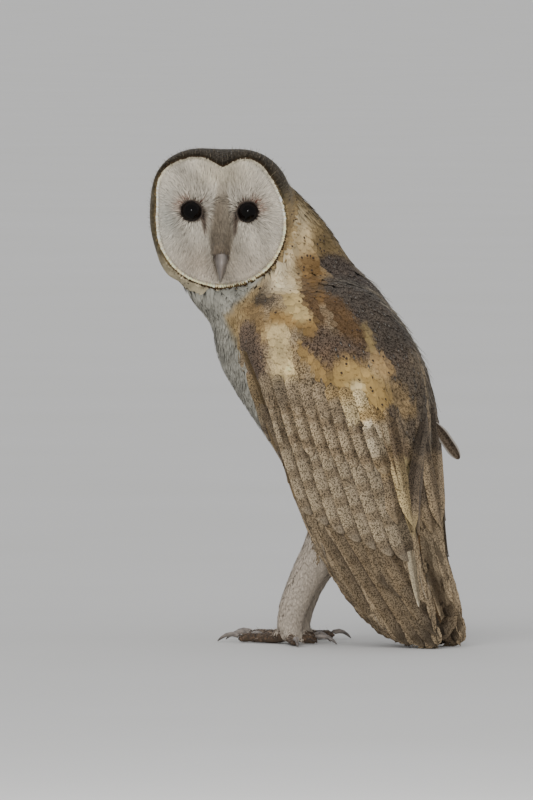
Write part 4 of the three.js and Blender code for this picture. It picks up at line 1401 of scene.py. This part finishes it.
# the ruff round the disc: short stiff feathers, dark-tipped low down and on the bird's left
ruffColumns = ("off", "count", "length", "width", "forward", "rise", "tone", "dark")
ruff = {
    "outer": (-0.6, 300, 4.6, 2.0, 0.1, -0.5, (92, 84, 68), 0.0),
    "tipped": (-1.9, 190, 3.8, 1.6, 0.28, 0.2, (104, 94, 74), 1.0),
    "band": (-4.0, 340, 4.2, 1.5, 0.16, 0.25, (184, 177, 161), 0.0),
    "crest": (-2.7, 340, 2.9, 1.3, 0.3, 0.35, (190, 183, 167), 0.0),
}
ruffTip = np.array([62.0, 48.0, 36.0])
coat = newCoat()
rows = np.array([0, 0.4, 0.72, 0.9, 1.0])
for kind, row in ruff.items():
    rule = dict(zip(ruffColumns, row))
    count = rule["count"]
    angle = (np.arange(count) + rng.uniform(-0.15, 0.15, count)) / count * 2 * math.pi
    degrees = np.degrees(angle) % 360
    radius = rimRadius(np.sin(angle), np.cos(angle)) + rule["off"] + rng.normal(0, 0.12, count)
    radial = np.sin(angle)[:, None] * faceAcross + np.cos(angle)[:, None] * faceUp
    across, above = radius * np.sin(angle), radius * np.cos(angle)
    places, normals, index = nearest(coatTree, fromFace(across, above, 21.0))
    aim = unit(radial * (1 - rule["forward"]) + faceOut * rule["forward"])
    length = rule["length"] * rng.uniform(0.9, 1.06, count)
    spine = (places - normals * 1.0)[:, None] + aim[:, None] * (length[:, None] * rows)[..., None]
    spine = spine - faceOut * (0.18 * length[:, None] * rows**2)[..., None] + normals[:, None] * rule["rise"]
    flatUp = unit(faceOut - aim * (aim @ faceOut)[:, None])
    normal = np.repeat(flatUp[:, None], len(rows), axis=1)
    half = rule["width"] / 2 * rng.uniform(0.85, 1.15, count)[:, None] * np.array([0.6, 1, 0.95, 0.7, 0.15])
    lowLeft = smooth(degrees, 88, 108) * (1 - smooth(degrees, 208, 232))
    upper = np.maximum(smooth(degrees, 295, 325), 1 - smooth(degrees, 35, 65))
    cream = smooth(degrees, 60, 110) * (1 - smooth(degrees, 230, 260))
    tone = np.array(rule["tone"], float) * (1 - cream[:, None] * np.array([0.02, 0.04, 0.09]))
    tone = tone * (1 - 0.2 * upper[:, None])
    if kind == "outer":
        tone = markings(places + radial * 3, normals, np.full(count, "head"))[0]
    tone = tone * (0.97 + rng.normal(0, 0.06, count))[:, None]
    dark = rule["dark"] * np.maximum(lowLeft, 0.7 * upper)
    tipDark = (dark[:, None] * np.array([0, 0.1, 0.75, 1, 1]))[..., None]
    tone = tone[:, None] * (1 - tipDark) + ruffTip * tipDark
    marks = np.zeros((count, len(rows), 4))
    addVanes(coat, spine, normal, half, tone, marks, uvAt(places), thick=0.06, camber=0.12)
finishCoat(coat, "face_rim")
print("face and ruff")


# bristles and scutes, set out by Geometry Nodes on points that carry their aim and length
def instancerTree(name, makeShape):
    tree = bpy.data.node_groups.new(name, "GeometryNodeTree")
    inputs = {"Points": "Geometry", "Thickness": "Float", "Bend": "Float", "Finish": "Material"}
    for label, kind in inputs.items():
        tree.interface.new_socket(name=label, in_out="INPUT", socket_type="NodeSocket" + kind)
    tree.interface.new_socket(name="Geometry", in_out="OUTPUT", socket_type="NodeSocketGeometry")
    into = addNode(tree, "NodeGroupInput").outputs
    aim, reach = (
        addNode(tree, "GeometryNodeInputNamedAttribute", {"Name": label}, data_type=kind).outputs["Attribute"]
        for label, kind in (("aim", "FLOAT_VECTOR"), ("reach", "FLOAT"))
    )
    turn = addNode(tree, "FunctionNodeAlignRotationToVector", {"Vector": aim}, axis="Z").outputs["Rotation"]
    sockets = {"Points": into["Points"], "Instance": makeShape(tree, into), "Rotation": turn, "Scale": reach}
    stand = addNode(tree, "GeometryNodeInstanceOnPoints", sockets).outputs["Instances"]
    real = addNode(tree, "GeometryNodeRealizeInstances", {"Geometry": stand}).outputs["Geometry"]
    sockets = {"Geometry": real, "Material": into["Finish"]}
    finish = addNode(tree, "GeometryNodeSetMaterial", sockets).outputs["Geometry"]
    addNode(tree, "NodeGroupOutput", {"Geometry": finish})
    return tree


def bristleShape(tree, into):
    sockets = {"Vertices": 5, "Side Segments": 4, "Depth": 1, "Radius Top": 0.004}
    sockets["Radius Bottom"] = into["Thickness"]
    cone = addNode(tree, "GeometryNodeMeshCone", sockets).outputs["Mesh"]
    place = addNode(tree, "GeometryNodeInputPosition").outputs[0]
    along = addNode(tree, "ShaderNodeSeparateXYZ", {"Vector": place}).outputs["Z"]
    swing = times(tree, times(tree, along, along), into["Bend"])
    offset = addNode(tree, "ShaderNodeCombineXYZ", {"X": swing}).outputs[0]
    return addNode(tree, "GeometryNodeSetPosition", {"Geometry": cone, "Offset": offset}).outputs["Geometry"]


def scuteShape(tree, into):
    dome = addNode(tree, "GeometryNodeMeshIcoSphere", {"Subdivisions": 2}).outputs["Mesh"]
    size = addNode(tree, "ShaderNodeCombineXYZ", {"X": 1, "Y": 0.86, "Z": into["Thickness"]}).outputs[0]
    return addNode(tree, "GeometryNodeTransform", {"Geometry": dome, "Scale": size}).outputs["Geometry"]


def setOut(name, tree, points, aim, reach, tint, values, material):
    bed = bpy.data.meshes.new(name + "_bed")
    bed.vertices.add(len(points))
    bed.vertices.foreach_set("co", (points * mm).astype(np.float32).ravel())
    for key, data in (("aim", aim), ("reach", reach * mm), ("tint", withAlpha(albedo(tint)))):
        setAttribute(bed, key, data)
    holder = placed(name + "_bed", bed)
    modifier = holder.modifiers.new("setOut", "NODES")
    modifier.node_group = tree
    sockets = {s.name: s.identifier for s in tree.interface.items_tree if s.in_out == "INPUT"}
    for label, value in {**values, "Finish": material}.items():
        modifier[sockets[label]] = value
    mesh = plainMesh(holder)
    mesh.name = name
    setSmooth(mesh)
    print(name, len(mesh.polygons), "faces")
    addPiece(name, mesh, material)


bristles = instancerTree("bristles", bristleShape)
scutes = instancerTree("scutes", scuteShape)


def setBristles(name, rule, points, aim, reach, tint):
    values = {"Thickness": rule["thickness"], "Bend": rule.get("bend", 0.1)}
    setOut(name, bristles, points, unit(aim), reach, tint, values, bristleHorn)


# lashes stand off the lids, longest above and outside
lashes = {"count": 46, "length": 6.2, "thickness": 0.028, "bend": 0.25, "clear": 7.9, "tone": (108, 66, 48)}
count = lashes["count"]
roots, aims, reaches = [], [], []
for (x, y), outward in zip(eyeSpots, (-1, 1)):
    angle = np.radians(rng.uniform(20, 160, count))
    angle = np.where(rng.random(count) < 0.7, np.radians(rng.uniform(100, 185, count)), angle)
    dx, dy = -outward * np.cos(angle), np.sin(angle)
    radius = lashes["clear"] + rng.uniform(-0.3, 1.0, count)
    places, normals = onDisc(x + dx * radius, y + dy * radius)
    aim = dx[:, None] * faceAcross + (dy[:, None] + 0.15) * faceUp
    aim = aim + faceOut * rng.uniform(0.2, 0.6, (count, 1))
    roots.append(places - faceOut * 0.3)
    aims.append(unit(aim))
    reaches.append(lashes["length"] * rng.uniform(0.5, 1.2, count))
roots, aims, reaches = map(np.concatenate, (roots, aims, reaches))
setBristles("lashes", lashes, roots, aims, reaches, np.tile(lashes["tone"], (len(roots), 1)))

# bristles at the root of the bill lie down along its sides
beard = {
    "count": 150, "length": 4.2, "thickness": 0.03, "bend": 0.12,
    "tone": (84, 72, 62), "pale": (168, 160, 148), "paleShare": 0.12,
}
count = beard["count"]
turn = rng.uniform(-1, 1, count)
across = 5.6 * turn + rng.normal(0, 0.5, count)
above = -13.5 - 8.0 * np.abs(turn) ** 1.5 + rng.normal(0, 1.1, count)
places, normals = onDisc(across, above)
aim = faceAcross * (across * 0.05)[:, None] - faceUp + faceOut * rng.uniform(0.05, 0.5, (count, 1))
pale = (rng.random(count) < beard["paleShare"])[:, None]
tint = np.where(pale, np.array(beard["pale"]), np.array(beard["tone"])) * rng.uniform(0.8, 1.15, (count, 1))
reach = beard["length"] * rng.uniform(0.5, 1.1, count)
setBristles("bill_bristles", beard, places, aim, reach, tint)

# wisps that stand a little off the crown and the back's edge
wisps = {
    "crown": {"spacing": 3.4, "length": 5.0, "off": 0.3, "thickness": 0.025, "tone": (112, 104, 90)},
    "back": {"spacing": 4.4, "length": 11.0, "off": 0.12, "thickness": 0.012, "tone": (112, 107, 98)},
}
edgeOn = np.abs(quadNormal @ toViewer) < 0.3
backEdge = np.isin(quadPart, ("trunk", "neck", "wing")) & edgeOn & (quadCentre[:, 1] > 12)
wispy = {"crown": headCoat & (quadCentre[:, 2] > 285), "back": backEdge & (quadCentre[:, 2] > 150)}
for kind, rule in wisps.items():
    points, normals, parts = scatter(wispy[kind], rule["spacing"])
    count = len(points)
    aim = lieOfCoat(points, normals, parts) + normals * rule["off"] * rng.uniform(0.3, 1.3, (count, 1))
    aim = unit(aim + rng.normal(0, 0.08, (count, 3)))
    tint = np.tile(rule["tone"], (count, 1)) * rng.uniform(0.75, 1.2, (count, 1))
    reach = rule["length"] * rng.uniform(0.6, 1.2, count)
    setBristles(kind + "_wisps", rule, points, aim, reach, tint)

# toes: small raised scutes, with sparse pale bristles on top
toes = {"spacing": 1.55, "size": 0.95, "flat": 0.34, "tone": (150, 138, 122)}
points, normals, parts = scatter((quadPart == "foot") & (quadNormal[:, 2] > -0.35), toes["spacing"])
tint = np.array(toes["tone"], float) * rng.uniform(0.7, 1.05, (len(points), 1))
reach = toes["size"] * rng.uniform(0.8, 1.1, len(points))
under = nearest(skinTree, points)[0]
setOut("toe_scutes", scutes, under, normals, reach, tint, {"Thickness": toes["flat"]}, toeHide)
toeHairs = {"spacing": 2.6, "length": 3.4, "thickness": 0.035, "bend": 0.3, "tone": (160, 150, 138)}
points, normals, parts = scatter((quadPart == "foot") & (quadNormal[:, 2] > 0.2), toeHairs["spacing"])
aim = unit(normals * 0.7 + np.array([0, -0.7, -0.25]) + rng.normal(0, 0.2, normals.shape))
tint = np.tile(toeHairs["tone"], (len(points), 1)) * rng.uniform(0.7, 1.05, (len(points), 1))
reach = toeHairs["length"] * rng.uniform(0.6, 1.2, len(points))
setBristles("toe_bristles", toeHairs, points - normals * 0.6, aim, reach, tint)

# floor, light and camera
stageSet = {
    "floor": (0.6, 0.59, 0.575, 1),
    "floorShade": (0.58, 0.57, 0.55, 1),
    "floorHalf": 150000,
    "floorDrop": 0.05,
    "world": 0.62,
    "worldTone": (0.95, 0.97, 1.0, 1),
    "lookAt": (-31.5, 167.9),
    "rise": 2.5,
    "far": 8000,
    "tall": 551.7,
}
lamps = {
    "key": {"turn": -30, "height": 42, "angle": 50, "power": 1.2},
    "fill": {"turn": 48, "height": 24, "angle": 70, "power": 0.47},
    "back": {"turn": 190, "height": 50, "angle": 60, "power": 0.5},
    "spark": {"turn": 1, "height": 6, "far": 2200, "size": 0.3, "power": 11},
}
reach, drop = stageSet["floorHalf"], stageSet["floorDrop"]
floorCorners = [(x * reach, y * reach, -drop) for x, y in ((-1, -1), (1, -1), (1, 1), (-1, 1))]
floorMesh = newMesh("floor", np.array(floorCorners), np.array([(0, 1, 2, 3)]))
floorFinish, tree, surface = newMaterial("floorFinish", 0.9)
ground = {"Ground": stageSet["floor"], "Shade": stageSet["floorShade"]}
feed(tree, useGroup(tree, mottle, Scale=3.0, Low=0.3, High=0.7, **ground)["Colour"], surface["Base Color"])
floorMesh.materials.append(floorFinish)
placed("floor", floorMesh)

world = bpy.data.worlds.new("studio")
bpy.context.scene.world = world
world.use_nodes = True
sky = world.node_tree.nodes["Background"].inputs
sky["Color"].default_value = stageSet["worldTone"]
sky["Strength"].default_value = stageSet["world"]

aimPoint = stageSet["lookAt"][0] * alongFlank + stageSet["lookAt"][1] * upward
viewTurn = math.atan2(toViewer[1], toViewer[0])


def standAt(thing, turn, height, far):  # in degrees from the view, aimed at the bird
    a, b = viewTurn + math.radians(turn), math.radians(height)
    out = np.array([math.cos(a) * math.cos(b), math.sin(a) * math.cos(b), math.sin(b)])
    thing.location = (aimPoint + far * out) * mm
    thing.rotation_euler = (Vector(aimPoint * mm) - thing.location).to_track_quat("-Z", "Y").to_euler()


for name, rule in lamps.items():
    broad = "angle" in rule
    data = bpy.data.lights.new(name, "SUN" if broad else "AREA")
    data.energy = rule["power"]
    if broad:
        data.angle = math.radians(rule["angle"])
    else:
        data.shape = "DISK"
        data.size = rule["size"]
    lamp = placed(name, data)
    lamp.visible_glossy = not broad  # the eyes catch the small lamp alone
    standAt(lamp, rule["turn"], rule["height"], rule.get("far", 3000))

lens = bpy.data.cameras.new("camera")
lens.sensor_fit = "VERTICAL"
lens.sensor_height = 24
lens.lens = lens.sensor_height * stageSet["far"] / stageSet["tall"]
lens.clip_end = 400
camera = placed("camera", lens)
standAt(camera, 0, stageSet["rise"], stageSet["far"])
bpy.context.scene.camera = camera
print("stage, light and camera")
